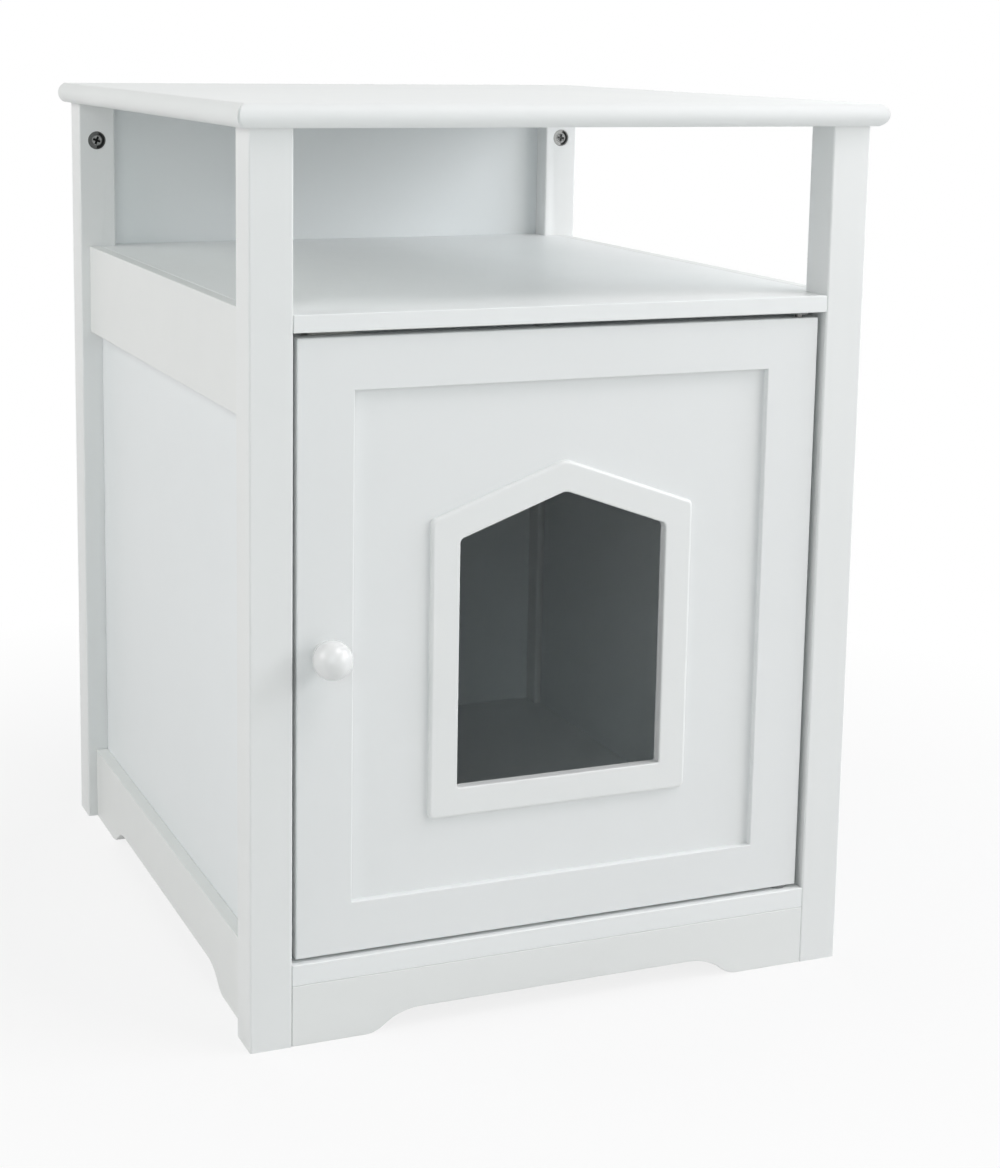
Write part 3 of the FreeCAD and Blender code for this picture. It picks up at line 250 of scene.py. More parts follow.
def noise(group, spot, **inputs):
    """The value of a noise texture at the spot."""
    return add_node(group, "ShaderNodeTexNoise", Vector=spot, **inputs).outputs["Fac"]


def blend(tree, factor, first, second, kind="RGBA"):
    """First where factor is 0, second where it is 1, and a mixture between."""
    mix = tree.nodes.new("ShaderNodeMix")
    mix.data_type = kind
    for label, value in (("Factor", factor), ("A", first), ("B", second)):
        feed(tree, mix.inputs[label], value)
    return mix.outputs["Result"]


def gloss(group, given, value):
    """A roughness between the group's low and high gloss, as the noise value goes from 0.3 to 0.7."""
    return add_node(group, "ShaderNodeMapRange", Value=value, From_Min=0.3, From_Max=0.7,
                    To_Min=given["Low Gloss"], To_Max=given["High Gloss"]).outputs["Result"]


def put_out(group, made, colour, roughness, height):
    """Ends a skin group in its three outputs."""
    for label, value in (("Colour", colour), ("Roughness", roughness), ("Height", height)):
        feed(group, made[label], value)
    return group


def make_lacquer_group():
    """Sprayed lacquer: cloudy tone, wiped patches that differ in gloss, and a fine orange peel."""
    group, given, made, spot = new_skin("lacquer_skin", Low_Gloss="Float", High_Gloss="Float",
                                        Peel_Size="Float")
    clouds = noise(group, spot, Scale=7, Detail=3)
    wipes = noise(group, spot, Scale=45, Detail=4)
    peel = noise(group, spot, Scale=given["Peel Size"], Detail=1.5, Roughness=0.4)
    dust = noise(group, spot, Scale=2400, Detail=1)
    cloudy = add_node(group, "ShaderNodeMapRange", Value=clouds, From_Min=0.3, From_Max=0.75)
    return put_out(group, made, blend(group, cloudy.outputs["Result"], given["Colour"], given["Shade"]),
                   gloss(group, given, wipes), blend(group, 0.15, peel, dust, "FLOAT"))


lacquer_group = make_lacquer_group()


def dressed(name, group, values, bump, bump_depth, **plain):
    """A material whose colour, roughness and bump come from a group set to values; plain are its
    shader's constants. bump is the bump's strength, bump_depth its depth in millimetres."""
    material = bpy.data.materials.new(name)
    material.use_nodes = True
    tree = material.node_tree
    skin = tree.nodes.new("ShaderNodeGroup")
    skin.name, skin.node_tree = "skin", group
    for label, value in values.items():
        socket = skin.inputs[label]
        socket.default_value = (*value, 1) if socket.type == "RGBA" else value
    relief = add_node(tree, "ShaderNodeBump", Strength=bump, Distance=bump_depth * mm,
                      Height=skin.outputs["Height"])
    fed = dict(Base_Color=skin.outputs["Colour"], Roughness=skin.outputs["Roughness"],
               Normal=relief.outputs["Normal"], **plain)
    for label, value in fed.items():
        feed(tree, tree.nodes["Principled BSDF"].inputs[label.replace("_", " ")], value)
    return material


def lacquer(name, colour, shade, low_gloss=0.36, high_gloss=0.44, peel_size=700, bump=0.25, shine=0.5):
    """White lacquer with its own tone, gloss and peel. A shiny one has a thin clear coat."""
    values = {"Colour": colour, "Shade": shade, "Low Gloss": low_gloss, "High Gloss": high_gloss,
              "Peel Size": peel_size}
    return dressed(name, lacquer_group, values, bump, 0.05, Coat_Weight=0.3 * shine,
                   Coat_Roughness=0.25, Specular_IOR_Level=shine)


# The top board's white is painted lighter than the legs' white: painted light for the light that falls on
# its top.
top_lacquer_painted_light = lacquer("lacquer_top_painted_light", (0.84, 0.857, 0.853), (0.825, 0.842, 0.838), 0.46, 0.54, shine=0.3)
top_half, top_front, top_back = 240.0, -257.5, 272.5
top_low, top_high = 624.0, 640.0
nose_depth, nose_radius, nose_blend, nose_steps = 5.5, 8.57, 3.0, 41
mitre_width, mitre_depth = 1.2, 1.8
back_ease = 0.8


def nose_profile(turns):
    """The nose's section at turns, the angle of its outward normal above level: an arc through the
    middle, and near the flats a smaller arc that runs into them. Returns how far it stands out
    beyond the flat part of the board, its height over the board's middle, and the normal's parts."""
    half = (top_high - top_low) / 2
    sunk = nose_radius - nose_depth
    blend_out = math.sqrt((nose_radius - nose_blend) ** 2 - (half - nose_blend) ** 2)
    limit = math.atan2(half - nose_blend, blend_out)
    level, upright = np.cos(turns), np.sin(turns)
    main = np.abs(turns) < limit
    out = np.where(main, nose_radius * level, blend_out + nose_blend * level) - sunk
    up = np.where(main, nose_radius * upright,
                  np.sign(turns) * (half - nose_blend) + nose_blend * upright)
    return out, up, level, upright


def make_top_board():
    """The nose's section is carried along the left, front and right edges. At each front corner the
    two runs meet in a mitre, where three stations a hair apart press a fine groove, deepest at the
    nose's middle and gone at the flats. Flat faces close the top, the bottom and the back."""
    turns = np.linspace(-math.pi / 2, math.pi / 2, nose_steps)
    out, up, level, upright = np.array(nose_profile(turns))[:, :, None]
    half, front = top_half - nose_depth, top_front + nose_depth
    # each station on the left half: x and y of the flat part's corner; the outward direction; the
    # way its run goes on beside the mitre, to the corner's diagonal; the share of groove and of ease
    left = np.array([(-half, top_back, -1, 0, 0, 0, 0, 1),
                     (-half, top_back - back_ease, -1, 0, 0, 0, 0, 0),
                     (-half, front + mitre_width, -1, 0, 0, -1, 0, 0),
                     (-half, front, -1, -1, 0, 0, 1, 0),
                     (-half + mitre_width, front, 0, -1, -1, 0, 0, 0)])
    right = left[::-1] * (-1, 1, -1, 1, -1, 1, 1, 1)
    x, y, out_x, out_y, run_x, run_y, groove, ease = np.concatenate([left, right]).T[:, None, :]
    reach = out - mitre_depth * groove * level - back_ease * ease * level
    points = np.stack([x + out_x * reach + run_x * out, y + out_y * reach + run_y * out,
                       (top_low + top_high) / 2 + up - back_ease * ease * upright], -1)
    rows, columns = points.shape[:2]
    last = (rows - 1) * columns
    inner = list(range(1, columns - 1))
    edge = [k * columns for k in range(rows)]
    # the nose, the bottom and the top with their strips along the back's ease, and the back
    faces = wrap(rows, columns)
    faces += [inner, [last + j for j in reversed(inner)], [0, 1, columns - 2, columns - 1],
              [last + columns - 1, last + columns - 2, last + 1, last],
              edge + [k + columns - 1 for k in reversed(edge)]]
    add_piece("top_board_lacquered", points, faces, "cabinet", top_lacquer_painted_light,
              ["top_board"], 40)


make_top_board()


# --- Legs ----------------------------------------------------------------------------------------
# Four square posts of solid wood, planed and eased on their long edges, then bored for the cam
# locks and dowels and grooved for the panels before they are sprayed.
leg_finish = lacquer("lacquer_legs", (0.81, 0.826, 0.822), (0.797, 0.813, 0.808), 0.34, 0.42)
flat_angle = 0.3


def smooth_copy(node, name, body, material, crease=32, flats=True):
    """A merged copy of a CAD node, its flat faces made whole again and its rounds shaded smooth."""
    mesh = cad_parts[node].data.copy()
    mesh.name = name
    mesh.materials.clear()
    mesh.materials.append(material)
    work = bmesh.new()
    work.from_mesh(mesh)
    bmesh.ops.remove_doubles(work, verts=work.verts, dist=seam)
    if flats:
        bmesh.ops.dissolve_limit(work, angle_limit=math.radians(flat_angle), verts=work.verts,
                                 edges=work.edges)
    work.to_mesh(mesh)
    work.free()
    finish_mesh(mesh, crease)
    return place_piece(name, mesh, body, [node])


def soften(piece, width, segments=3, angle=40):
    """Eases the edges of a finished piece by width, in millimetres, and keeps its flats flat."""
    piece.modifiers.clear()
    ease = piece.modifiers.new("eased_edges", "BEVEL")
    ease.width, ease.segments, ease.limit_method = width * mm, segments, "ANGLE"
    ease.angle_limit, ease.harden_normals = math.radians(angle), True


for corner in ("front_left", "front_right", "back_left", "back_right"):
    smooth_copy("leg_" + corner, "post_" + corner, "cabinet", leg_finish)


# --- Shelf and bottom board ----------------------------------------------------------------------
# Two boards of coated fibre board that tie the four legs together. Each has a tongue between the
# front legs and one between the back legs, and is dowelled to the rails.
# The boards' white is painted lighter than the legs' white: painted light on the shelf and on the cabinet's
# floor.
boards_lacquer_painted_light = lacquer("lacquer_boards_painted_light", (0.845, 0.864, 0.862), (0.83, 0.849, 0.848), 0.42, 0.5,
                       shine=0.45)
board_ease = 0.8
wide_half, tongue_half = 212.5, 200.0
board_front, front_legs, back_legs, board_back = -247.5, -217.5, 237.5, 256.5


def slab(outline, low, high, axes):
    """A flat outline, an (n, 2) loop in the plane of the first two axes, carried from low to high
    along the third: its points, row after row, and its faces with the two ends."""
    n = len(outline)
    points = np.zeros((2, n, 3))
    points[..., axes[0]], points[..., axes[1]] = outline[:, 0], outline[:, 1]
    points[0, :, axes[2]], points[1, :, axes[2]] = low, high
    return points, wrap(2, n, False, True) + [list(range(n)), list(range(2 * n - 1, n - 1, -1))]


def make_tongued_board(name, node, low, high):
    """A board between the rails: wide between the leg rows, narrow between the legs."""
    right = np.array([(tongue_half, board_front), (tongue_half, front_legs), (wide_half, front_legs),
                      (wide_half, back_legs), (tongue_half, back_legs), (tongue_half, board_back)])
    points, faces = slab(np.concatenate([right, right[::-1] * (-1, 1)]), low, high, (0, 1, 2))
    soften(add_piece(name, points, faces, "cabinet", boards_lacquer_painted_light, [node]), board_ease)


make_tongued_board("shelf_lacquered", "shelf_board", 492.0, 504.0)
make_tongued_board("cabinet_floor_lacquered", "bottom_board", 43.5, 58.5)


# --- Aprons and side rails -----------------------------------------------------------------------
# Boards set on edge between the legs. The lower ones are sawn to an arch that ends in two ogees, a
# hollow curve that runs into a round one, and all are eased by a hand router.
rail_finish = lacquer("lacquer_rails", (0.805, 0.82, 0.81), (0.79, 0.806, 0.796), 0.38, 0.46)
arch_rise, ogee_run, ogee_share, ogee_steps = 14.5, 41.0, 0.66, 14
rail_half, rail_middle, high_rail_low, high_rail_height = 227.5, 10.0, 431.0, 73.0


def arched_outline(half, foot, height):
    """A board on two feet. From the foot's tip a round arc rises to the bend, then a hollow one to
    the flat. Both turn by the same sweep, and their radii add up to (run^2 + rise^2) / (2 * rise)."""
    radii_sum = (ogee_run ** 2 + arch_rise ** 2) / (2 * arch_rise)
    sweep = math.asin(ogee_run / radii_sum) * np.linspace(0, 1, ogee_steps)
    low_radius, high_radius = (1 - ogee_share) * radii_sum, ogee_share * radii_sum
    tip, flat = half - foot, half - foot - ogee_run
    hollow = np.stack([flat + high_radius * np.sin(sweep),
                       arch_rise - high_radius * (1 - np.cos(sweep))], -1)
    round_foot = np.stack([tip - low_radius * np.sin(sweep), low_radius * (1 - np.cos(sweep))], -1)
    right = np.concatenate([hollow[:-1], round_foot[::-1]])
    return np.concatenate([right, [(half, 0), (half, height), (-half, height), (-half, 0)],
                           (right * (-1, 1))[::-1]])


def make_rail(name, node, outline, low, high, axes, middle=0.0, base=0.0):
    """A rail or an apron: its outline moved to its middle and base, as thick as from low to high."""
    points, faces = slab(outline + (middle, base), low, high, axes)
    soften(add_piece(name, points, faces, "cabinet", rail_finish, [node]), board_ease)


apron_outline = arched_outline(tongue_half, 53.0, 43.5)
make_rail("apron_front_lacquered", "apron_front", apron_outline, -247.5, -235.5, (0, 2, 1))
make_rail("apron_back_lacquered", "apron_back", apron_outline, 249.5, 261.5, (0, 2, 1))
low_rail_outline = arched_outline(rail_half, 60.0, 60.5)
high_rail_outline = np.array([(-rail_half, 0), (rail_half, 0), (rail_half, high_rail_height),
                              (-rail_half, high_rail_height)])
for side, low, high in (("left", -222.5, -212.5), ("right", 212.5, 222.5)):
    make_rail("low_rail_" + side, "lower_rail_" + side, low_rail_outline, low, high, (1, 2, 0),
              rail_middle)
    make_rail("high_rail_" + side, "upper_rail_" + side, high_rail_outline, low, high, (1, 2, 0),
              rail_middle, high_rail_low)


# --- Side and back panels ------------------------------------------------------------------------
# Thin coated fibre boards that slide into the legs' grooves; the lower back one is nailed on. Their
# skin is smoother than the sprayed parts.
# Their white is painted bluer and lighter than the sprayed parts': painted cool light for the inside of the
# cabinet and its open bay.
panels_lacquer_painted_light = lacquer("coated_panels_painted_light", (0.828, 0.858, 0.866), (0.818, 0.848, 0.856), 0.42, 0.48, 1100,
                       0.15)
for node in ("side_panel_left", "side_panel_right", "back_panel_lower", "back_panel_upper"):
    smooth_copy(node, node + "_coated", "cabinet", panels_lacquer_painted_light)


# --- Door frame ----------------------------------------------------------------------------------
# One board, routed out in its middle: its outer edge is rounded, its inner edge eased, and a rebate
# at the back takes the thin panel. It is sprayed like the rest and hangs on two pins.
door_finish = lacquer("lacquer_door", (0.805, 0.822, 0.822), (0.793, 0.81, 0.81), 0.34, 0.42)
door_half, door_high = 196.0, 488.0
door_front, door_back = -243.5, -228.5
recess_half, recess_low, recess_high = 156.0, 96.7, 452.0
door_round, recess_round, door_hem, recess_depth, rebate = 1.3, 1.0, 0.6, 5.0, 8.0
stile_width, rail_width = door_half - recess_half, door_high - recess_high


def quarter(across, depth, radius, start, steps=6):
    """Points of a quarter arc in a section: its centre is (across, depth), its first angle start."""
    angles = start + np.linspace(0, tau / 4, steps)
    return np.stack([across + radius * np.cos(angles), depth + radius * np.sin(angles)], -1)


def make_door_frame():
    """The section, (out of the recess, depth) pairs with its rebate, eased lip, face, outer round and
    hem, is carried round the recess's rectangle and mitred at its four corners. Up and down, what
    lies beyond the rebate is narrowed to the rails' width, which is less than the stiles'."""
    section = np.concatenate([
        [(rebate, door_back), (rebate, door_front + recess_depth), (0, door_front + recess_depth)],
        quarter(recess_round, door_front + recess_round, recess_round, math.pi),
        quarter(stile_width - door_round, door_front + door_round, door_round, -tau / 4),
        quarter(stile_width - door_hem, door_back - door_hem, door_hem, 0, 4)])
    out, depth = section.T[:, :, None]
    share = (rail_width - rebate) / (stile_width - rebate)
    lift = np.where(out > rebate, rebate + (out - rebate) * share, out)
    sign_x, sign_z = np.array([-1, 1, 1, -1]), np.array([-1, -1, 1, 1])
    x = sign_x * (recess_half + out)
    z = np.where(sign_z > 0, recess_high + lift, recess_low - lift)
    faces = wrap(len(section), 4, True, True)
    add_piece("door_frame_lacquered", np.stack([x, depth + 0 * x, z], -1), faces, "door", door_finish,
              ["door_frame"])


make_door_frame()


# --- Cat opening: panel and trim ring ------------------------------------------------------------
# A thin panel with a house-shaped cut-out, laid in the frame's rebate from behind and held there by
# beads. A moulded ring covers the cut edge: its collar lines the hole, its face stands proud.
door_panel_finish = lacquer("lacquer_door_panel", (0.805, 0.822, 0.822), (0.793, 0.81, 0.81), 0.38, 0.46)
trim_finish = lacquer("moulded_trim", (0.815, 0.83, 0.825), (0.805, 0.82, 0.815), 0.3, 0.36, 1300, 0.12)
opening_half, sill, wall, roof = 78.5, 168.7, 176.5, 28.5
ring_width, ring_front, panel_front, panel_back = 21.0, -242.5, -238.5, -234.5
ring_outer_round, ring_inner_round, collar, panel_gap = 2.4, 1.2, 2.0, 0.3
# from the sill's left corner on: the corners' radii at the opening and at the ring's outer edge
inner_rounds = np.array([1.5, 1.5, 4.0, 9.0, 4.0])
outer_rounds = np.array([4.5, 4.5, 4.5, 15.0, 4.5])
arc_steps = 9


def house_corners(grow):
    """The five corners of the opening moved out by grow: from the sill's left one round to the right."""
    slope = roof / opening_half
    half = opening_half + grow
    ridge = sill + wall + roof + grow * np.sqrt(1 + slope ** 2)
    eaves, base = ridge - half * slope, sill - grow
    return np.array([(-half, base), (half, base), (half, eaves), (0, ridge), (-half, eaves)])


def house_loop(grow, rounds):
    """The opening's outline moved out by grow, with each corner an arc: the arc's centre lies on the
    corner's bisector, and its points turn evenly from one side's direction to the other's."""
    corners = house_corners(grow)
    to_last = np.roll(corners, 1, 0) - corners
    to_next = np.roll(corners, -1, 0) - corners
    to_last /= np.linalg.norm(to_last, axis=1)[:, None]
    to_next /= np.linalg.norm(to_next, axis=1)[:, None]
    between = np.arccos(np.sum(to_last * to_next, 1))[:, None]
    bisector = to_last + to_next
    bisector /= np.linalg.norm(bisector, axis=1)[:, None]
    radius = rounds[:, None]
    centre = corners + bisector * radius / np.sin(between / 2)
    first = (corners + to_last * radius / np.tan(between / 2) - centre) / radius
    last = (corners + to_next * radius / np.tan(between / 2) - centre) / radius
    turn = (math.pi - between)[:, None]
    u = np.linspace(0, 1, arc_steps)[None, :, None]
    arc = (np.sin((1 - u) * turn) * first[:, None] + np.sin(u * turn) * last[:, None]) / np.sin(turn)
    return (centre[:, None] + radius[:, None] * arc).reshape(-1, 2)


def at_depth(loop, depth):
    """A loop in the door's plane as points at one depth."""
    return np.stack([loop[:, 0], np.full(len(loop), depth), loop[:, 1]], -1)


def make_door_panel():
    """Loops in the order front outer, front inner, back inner, back outer; each corner of the house is
    joined to its own corner of the panel, and the ridge to the middle of the top edge."""
    reach, cut = rebate - panel_gap, collar + panel_gap
    half, low, high = recess_half + reach, recess_low - reach, recess_high + reach
    border = np.array([(-half, low), (half, low), (half, high), (0, high), (-half, high)])
    border = np.repeat(border, arc_steps, 0)
    hole = house_loop(cut, inner_rounds + cut)
    points = np.array([at_depth(border, panel_front), at_depth(hole, panel_front),
                       at_depth(hole, panel_back), at_depth(border, panel_back)])
    faces = wrap(4, points.shape[1], True, True)
    add_piece("door_panel_lacquered", points, faces, "door", door_panel_finish,
              ["door_panel"])


def make_opening_trim():
    """The ring's section, (out, depth) pairs, is carried round the house; corner radii pass from the
    opening's to the ring's outer ones as the section goes outwards."""
    section = np.concatenate([
        [(0, panel_back)],
        quarter(ring_inner_round, ring_front + ring_inner_round, ring_inner_round, math.pi),
        quarter(ring_width - ring_outer_round, ring_front + ring_outer_round, ring_outer_round, -tau / 4, 8),
        [(ring_width, panel_front), (collar, panel_front), (collar, panel_back)]])
    points = np.array([
        at_depth(house_loop(out, inner_rounds + (outer_rounds - inner_rounds) * (out / ring_width)), depth)
        for out, depth in section])
    faces = wrap(len(section), points.shape[1], True, True)
    add_piece("opening_trim_moulded", points, faces, "door", trim_finish, ["opening_trim"])


make_door_panel()
make_opening_trim()
soften(smooth_copy("panel_beads", "panel_beads_lacquered", "door", door_finish), 0.5)


# --- Knob ----------------------------------------------------------------------------------------
# A turned wooden knob: a ball on a short waist with a small round foot, dipped in gloss lacquer and
# held by one machine screw from inside the door.
knob_finish = lacquer("gloss_knob", (0.82, 0.83, 0.825), (0.81, 0.82, 0.815), 0.16, 0.22, 500, 0.12)
knob_x, knob_z, knob_sides, ball_steps = -176.0, 274.35, 72, 40
knob_ball, knob_length, knob_foot, knob_neck = 13.5, 29.0, 9.0, 5.5
foot_thickness, foot_rim = 2.0, 0.9
# how far the waist stands out from the neck at the foot and at the flare's end, and its length
flare_start, flare_end, flare_length = 0.5, 0.1, 0.4


def turned(profile, sides, centre_x, centre_z, face):
    """A turned form: profile, (radius, distance in front of face) pairs, carried round an axis that
    points forwards through (centre_x, centre_z). A pole is closed by merging its points."""
    around = np.linspace(0, tau, sides, endpoint=False)
    radius, ahead = profile.T[:, :, None]
    points = np.stack([centre_x + radius * np.cos(around), face - ahead + 0 * around,
                       centre_z + radius * np.sin(around)], -1)
    return points, wrap(len(profile), sides, False, True)


def make_knob():
    """Foot with a rounded rim, a waist with a small flare at the foot, and the ball's sphere."""
    foot = quarter(knob_foot - foot_rim, foot_thickness - foot_rim, foot_rim, 0)
    waist = [(knob_neck + flare_start, foot_thickness),
             (knob_neck + flare_end, foot_thickness + flare_length)]
    up = np.linspace(-math.acos(knob_neck / knob_ball), tau / 4, ball_steps)
    ball = np.stack([knob_ball * np.cos(up), knob_length - knob_ball + knob_ball * np.sin(up)], -1)
    ball[-1, 0] = 0
    profile = np.concatenate([[(0, 0), (knob_foot, 0)], foot, waist, ball])
    points, faces = turned(profile, knob_sides, knob_x, knob_z, door_front)
    add_piece("knob_turned", points, faces, "door", knob_finish, ["door_knob"], 45)


make_knob()


# --- Cam locks -----------------------------------------------------------------------------------
# Die-cast zinc cams, one in the inner face of each leg, turned by a cross-head driver to draw the
# top board's bolts down. The cross stands in a hub beside a half-moon slot, both painted near black
# as shade in their hollows.
def stretched(group, spot, by):
    """The spot with each axis stretched by its share, so that noise runs long where that is small."""
    return combine(group, "ShaderNodeVectorMath", "MULTIPLY", spot, by).outputs["Vector"]


def make_metal_group():
    """Metal as it comes from the works: grain in the tone and the gloss, and a fine pitted height."""
    group, given, made, spot = new_skin("works_metal", Low_Gloss="Float", High_Gloss="Float",
                                        Grain="Vector")
    grain = noise(group, stretched(group, spot, given["Grain"]), Scale=1, Detail=4)
    pits = noise(group, spot, Scale=2600, Detail=2)
    pitted = combine(group, "ShaderNodeMath", "ADD", grain, pits)
    return put_out(group, made, blend(group, grain, given["Colour"], given["Shade"]),
                   gloss(group, given, grain), pitted.outputs["Value"])


metal_group = make_metal_group()


def metal(name, colour, shade, low_gloss, high_gloss, grain, bump, metallic=1.0):
    """A metal finish; grain is how fine its noise is along each axis."""
    values = {"Colour": colour, "Shade": shade, "Low Gloss": low_gloss, "High Gloss": high_gloss,
              "Grain": grain}
    return dressed(name, metal_group, values, bump, 0.05, Metallic=metallic)


def zinc_with_painted_shade():
    """Cast zinc that darkens to a painted near black where the mesh's shade attribute says so: painted
    shade in the cross, the slot and the ring round the hub.
    """
    made = metal("cast_zinc", (0.34, 0.345, 0.34), (0.20, 0.205, 0.20), 0.34, 0.5, (900, 900, 900),
                 0.3, 0.85)
    tree = made.node_tree
    shade_amount = tree.nodes.new("ShaderNodeAttribute")
    shade_amount.attribute_name = "painted_shade"
    # the near black painted into the hollows as shade
    painted_black = (0.008, 0.009, 0.009, 1)
    feed(tree, tree.nodes["Principled BSDF"].inputs["Base Color"],
         blend(tree, shade_amount.outputs["Fac"], tree.nodes["skin"].outputs["Colour"], painted_black))
    return made


zinc_finish = zinc_with_painted_shade()
cam_x, cam_z, cam_radius, cam_depth, cam_sides = 215.0, 593.0, 7.5, 12.0, 120
# each cam: its side, the leg's inner face, the way into the leg, how far its cross is turned, how
# much painted shade darkens its cross and slot, and how much painted shade darkens its ring
cams = [(-1, 237.5, 1, math.radians(-20), 1.0, 0.6), (1, 237.5, 1, math.radians(-8), 0.7, 0.0),
        (-1, -217.5, -1, math.radians(35), 0.9, 0.4), (1, -217.5, -1, math.radians(12), 0.9, 0.3)]
# where each form of the face starts and ends its slope: distances from the cam's middle or, for the
# sides of the cross, from its arms' middle lines
cross_side, cross_end, cross_floor = (0.7, 1.1), (2.9, 3.5), (0.5, 3.0)
pad_slope, pad_end, hub_end, ring_start = (1.0, 2.4), (3.2, 4.2), (3.9, 4.2), (3.8, 4.4)
moon_inside, moon_outside, moon_ends, moon_turn = (4.6, 4.9), (6.3, 6.6), (0.1, 0.35), math.radians(-8)
cross_least, cross_more, pad_depth, ring_depth, moon_depth = 1.2, 0.9, 0.5, 0.5, 3.0
# the last value here is the share of the cross's painted shade that the half-moon slot gets
cam_sunk, rim_round, moon_shade = 0.2, 0.5, 0.85
# the rings of points over the hub, beyond it and round the rim: first and last radius, how many
hub_rings, outer_rings, rim_rings = (0, 4.2, 36), (4.3, 6.9, 24), 7


def smooth_step(values, low, high):
    """0 below low, 1 above high, and an even S between them."""
    share = np.clip((values - low) / (high - low), 0, 1)
    return share * share * (3 - 2 * share)


def cam_face(radius, angle, cross_turn, shade_amount, ring_shade):
    """How deep the cam's face lies, and how much painted shade darkens it. A driver's cross, its arms
    sinking towards the middle, stands in a raised hub with four bevelled pads; a half-moon slot beside
    it lets the bolt's head in. Painted shade fills the cross and the slot and darkens the ring round
    the hub."""
    across = np.abs(radius * np.cos(angle - cross_turn))
    along = np.abs(radius * np.sin(angle - cross_turn))
    arm, reach = np.minimum(across, along), np.maximum(across, along)
    cross = (1 - smooth_step(arm, *cross_side)) * (1 - smooth_step(reach, *cross_end))
    cross_depth = cross_least + cross_more * (1 - smooth_step(reach, *cross_floor))
    pads = smooth_step(arm, *pad_slope) * (1 - smooth_step(radius, *pad_end))
    moon = (smooth_step(radius, *moon_inside) * (1 - smooth_step(radius, *moon_outside))
            * smooth_step(np.cos(angle - moon_turn), *moon_ends))
    rim = np.clip(radius - (cam_radius - rim_round), 0, rim_round)
    rounded = rim_round - np.sqrt(np.clip(rim_round ** 2 - rim ** 2, 0, None))
    depth = (cross * cross_depth + pad_depth * pads * (1 - cross)
             + ring_depth * smooth_step(radius, *hub_end) + moon_depth * moon + rounded)
    # painted shade: near black in the cross and the slot, and a darker ring round the hub
    painted_shade = np.maximum(shade_amount * np.maximum(cross, moon_shade * moon), ring_shade * smooth_step(radius, *ring_start))
    return depth, painted_shade


def make_cam_locks():
    """Each cam is a polar grid, its face sunk by cam_face, a plain wall behind it and a flat back."""
    angle = np.linspace(0, tau, cam_sides, endpoint=False)[None, :]
    rim = cam_radius - rim_round + rim_round * np.sin(np.linspace(0, tau / 4, rim_rings))[1:]
    radius = np.concatenate([np.linspace(*hub_rings), np.linspace(*outer_rings), rim])[:, None]
    points, faces, painted_shades = [], [], []
    for side, leg_face, inward, cross_turn, shade_amount, ring_shade in cams:
        depth, painted_shade = cam_face(radius, angle, cross_turn, shade_amount, ring_shade)
        front = np.stack([side * cam_x + radius * np.cos(angle), leg_face + inward * (depth + cam_sunk),
                          cam_z + radius * np.sin(angle)], -1)
        wall_end = front[-1:].copy()
        wall_end[..., 1] = leg_face + inward * cam_depth
        pole = np.tile([side * cam_x, leg_face + inward * cam_depth, cam_z], (1, cam_sides, 1))
        grid = np.concatenate([front, wall_end, pole])
        quads = np.array(wrap(len(grid), cam_sides, False, True))
        faces += (quads + len(points) * grid[..., 0].size).tolist()
        points.append(grid)
        painted_shades.append(np.concatenate([painted_shade, painted_shade[-1:], painted_shade[-1:]]))
    add_piece("cam_locks_cast", np.array(points), faces, "cabinet", zinc_finish, ["cam_locks"], 50,
              np.array(painted_shades))


make_cam_locks()


# --- Screws, nails, pins and bolts ---------------------------------------------------------------
# Turned and headed steel: the knob's machine screw, the catch's and strike's screws, the cam bolts
# and the nails of the back, all zinc-plated, and the browned hinge pins. Their marks run round them.
plated_finish = metal("plated_steel", (0.62, 0.62, 0.60), (0.48, 0.48, 0.47), 0.22, 0.38,
                      (300, 1600, 1600), 0.15)
pin_finish = metal("browned_steel", (0.22, 0.215, 0.21), (0.16, 0.156, 0.15), 0.3, 0.42,
                   (500, 500, 3000), 0.1)
for node, body, finish in (("knob_screw", "door", plated_finish), ("strike_screw", "door", plated_finish),
                           ("catch_screws", "cabinet", plated_finish),
                           ("panel_nails", "cabinet", plated_finish),
                           ("cam_bolts", "cabinet", plated_finish), ("pivot_pins", "door", pin_finish)):
    smooth_copy(node, node + "_turned", body, finish, 40, False)


# --- Magnetic catch and hinge bushes -------------------------------------------------------------
# The catch is a moulded nylon case with a ferrite magnet between two steel pole plates, screwed
# under the shelf; its strike plate is stamped. The hinge pins turn in flanged nylon bushes.
def make_grain_group():
    """Moulded or fired stuff: specks in the tone, an even gloss that clouds, and a fine grain."""
    group, given, made, spot = new_skin("fine_grain", Low_Gloss="Float", High_Gloss="Float",
                                        Speck_Size="Float")
    specks = add_node(group, "ShaderNodeTexVoronoi", Vector=spot,
                      Scale=given["Speck Size"]).outputs["Distance"]
    clouds = noise(group, spot, Scale=160, Detail=3)
    return put_out(group, made, blend(group, specks, given["Colour"], given["Shade"]),
                   gloss(group, given, clouds), specks)


grain_group = make_grain_group()


def grained(name, colour, shade, low_gloss, high_gloss, speck_size, bump):
    """A moulded or fired finish; speck_size is how many specks there are to the metre."""
    values = {"Colour": colour, "Shade": shade, "Low Gloss": low_gloss, "High Gloss": high_gloss,
              "Speck Size": speck_size}
    return dressed(name, grain_group, values, bump, 0.04)


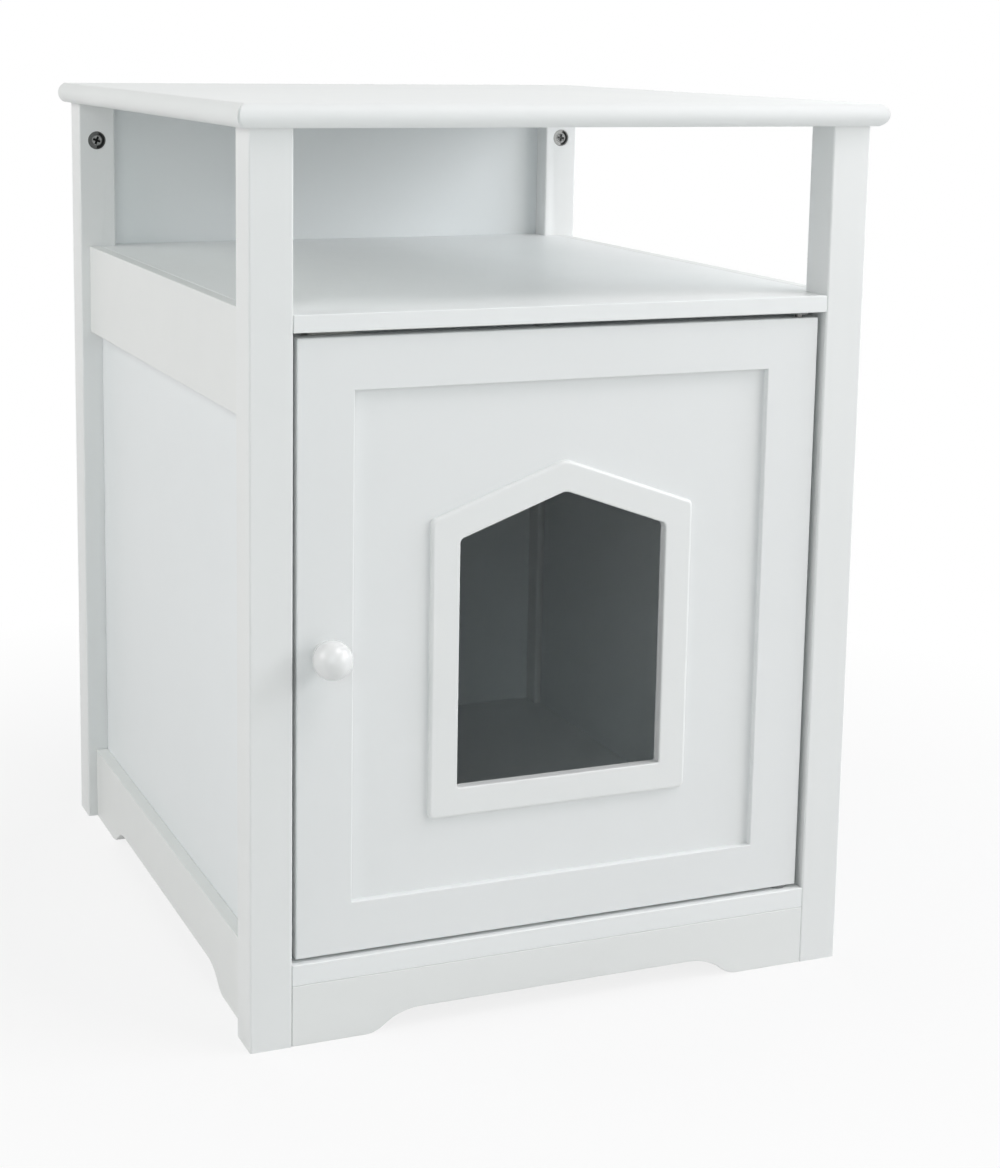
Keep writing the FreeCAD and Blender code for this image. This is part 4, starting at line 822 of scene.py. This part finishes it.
nylon_finish = grained("moulded_nylon", (0.76, 0.76, 0.73), (0.70, 0.70, 0.67), 0.38, 0.5, 1800, 0.15)
ferrite_finish = grained("fired_ferrite", (0.035, 0.035, 0.038), (0.06, 0.06, 0.062), 0.5, 0.7, 2600, 0.4)
bush_finish = grained("grey_nylon", (0.26, 0.265, 0.265), (0.22, 0.225, 0.225), 0.45, 0.55, 1800, 0.15)
rolled_finish = metal("rolled_steel", (0.58, 0.58, 0.58), (0.46, 0.46, 0.46), 0.24, 0.36,
                      (120, 2400, 2400), 0.12)
soften(smooth_copy("catch_housing", "catch_case_moulded", "cabinet", nylon_finish), 0.4)
soften(smooth_copy("catch_magnet", "catch_magnet_fired", "cabinet", ferrite_finish), 0.2)
soften(smooth_copy("catch_pole_plates", "catch_poles_stamped", "cabinet", rolled_finish), 0.15)
smooth_copy("strike_plate", "strike_plate_stamped", "door", rolled_finish, 40)
smooth_copy("pivot_bushes", "hinge_bushes_moulded", "cabinet", bush_finish, 40, False)


# --- Dowels --------------------------------------------------------------------------------------
# Plain beech pegs with chamfered ends, cut from rod and glued into the legs, rails, aprons and
# boards. They are out of sight in the assembled cabinet.
def make_wood_group():
    """Beech: long streaks along the grain in the tone, the gloss and the height."""
    group, given, made, spot = new_skin("beech_grain", Stretch="Vector")
    streaks = noise(group, stretched(group, spot, given["Stretch"]), Scale=1, Detail=6)
    rough = add_node(group, "ShaderNodeMapRange", Value=streaks, To_Min=0.55, To_Max=0.75)
    return put_out(group, made, blend(group, streaks, given["Colour"], given["Shade"]),
                   rough.outputs["Result"], streaks)


wood_group = make_wood_group()
for node, stretch in (("top_dowels", (900, 900, 60)), ("rail_dowels", (900, 60, 900)),
                      ("apron_dowels", (60, 900, 900)), ("board_dowels", (60, 900, 900))):
    beech = {"Colour": (0.60, 0.42, 0.25), "Shade": (0.42, 0.27, 0.15), "Stretch": stretch}
    smooth_copy(node, node + "_beech", "cabinet", dressed("beech_" + node, wood_group, beech, 0.3, 0.05),
                40, False)
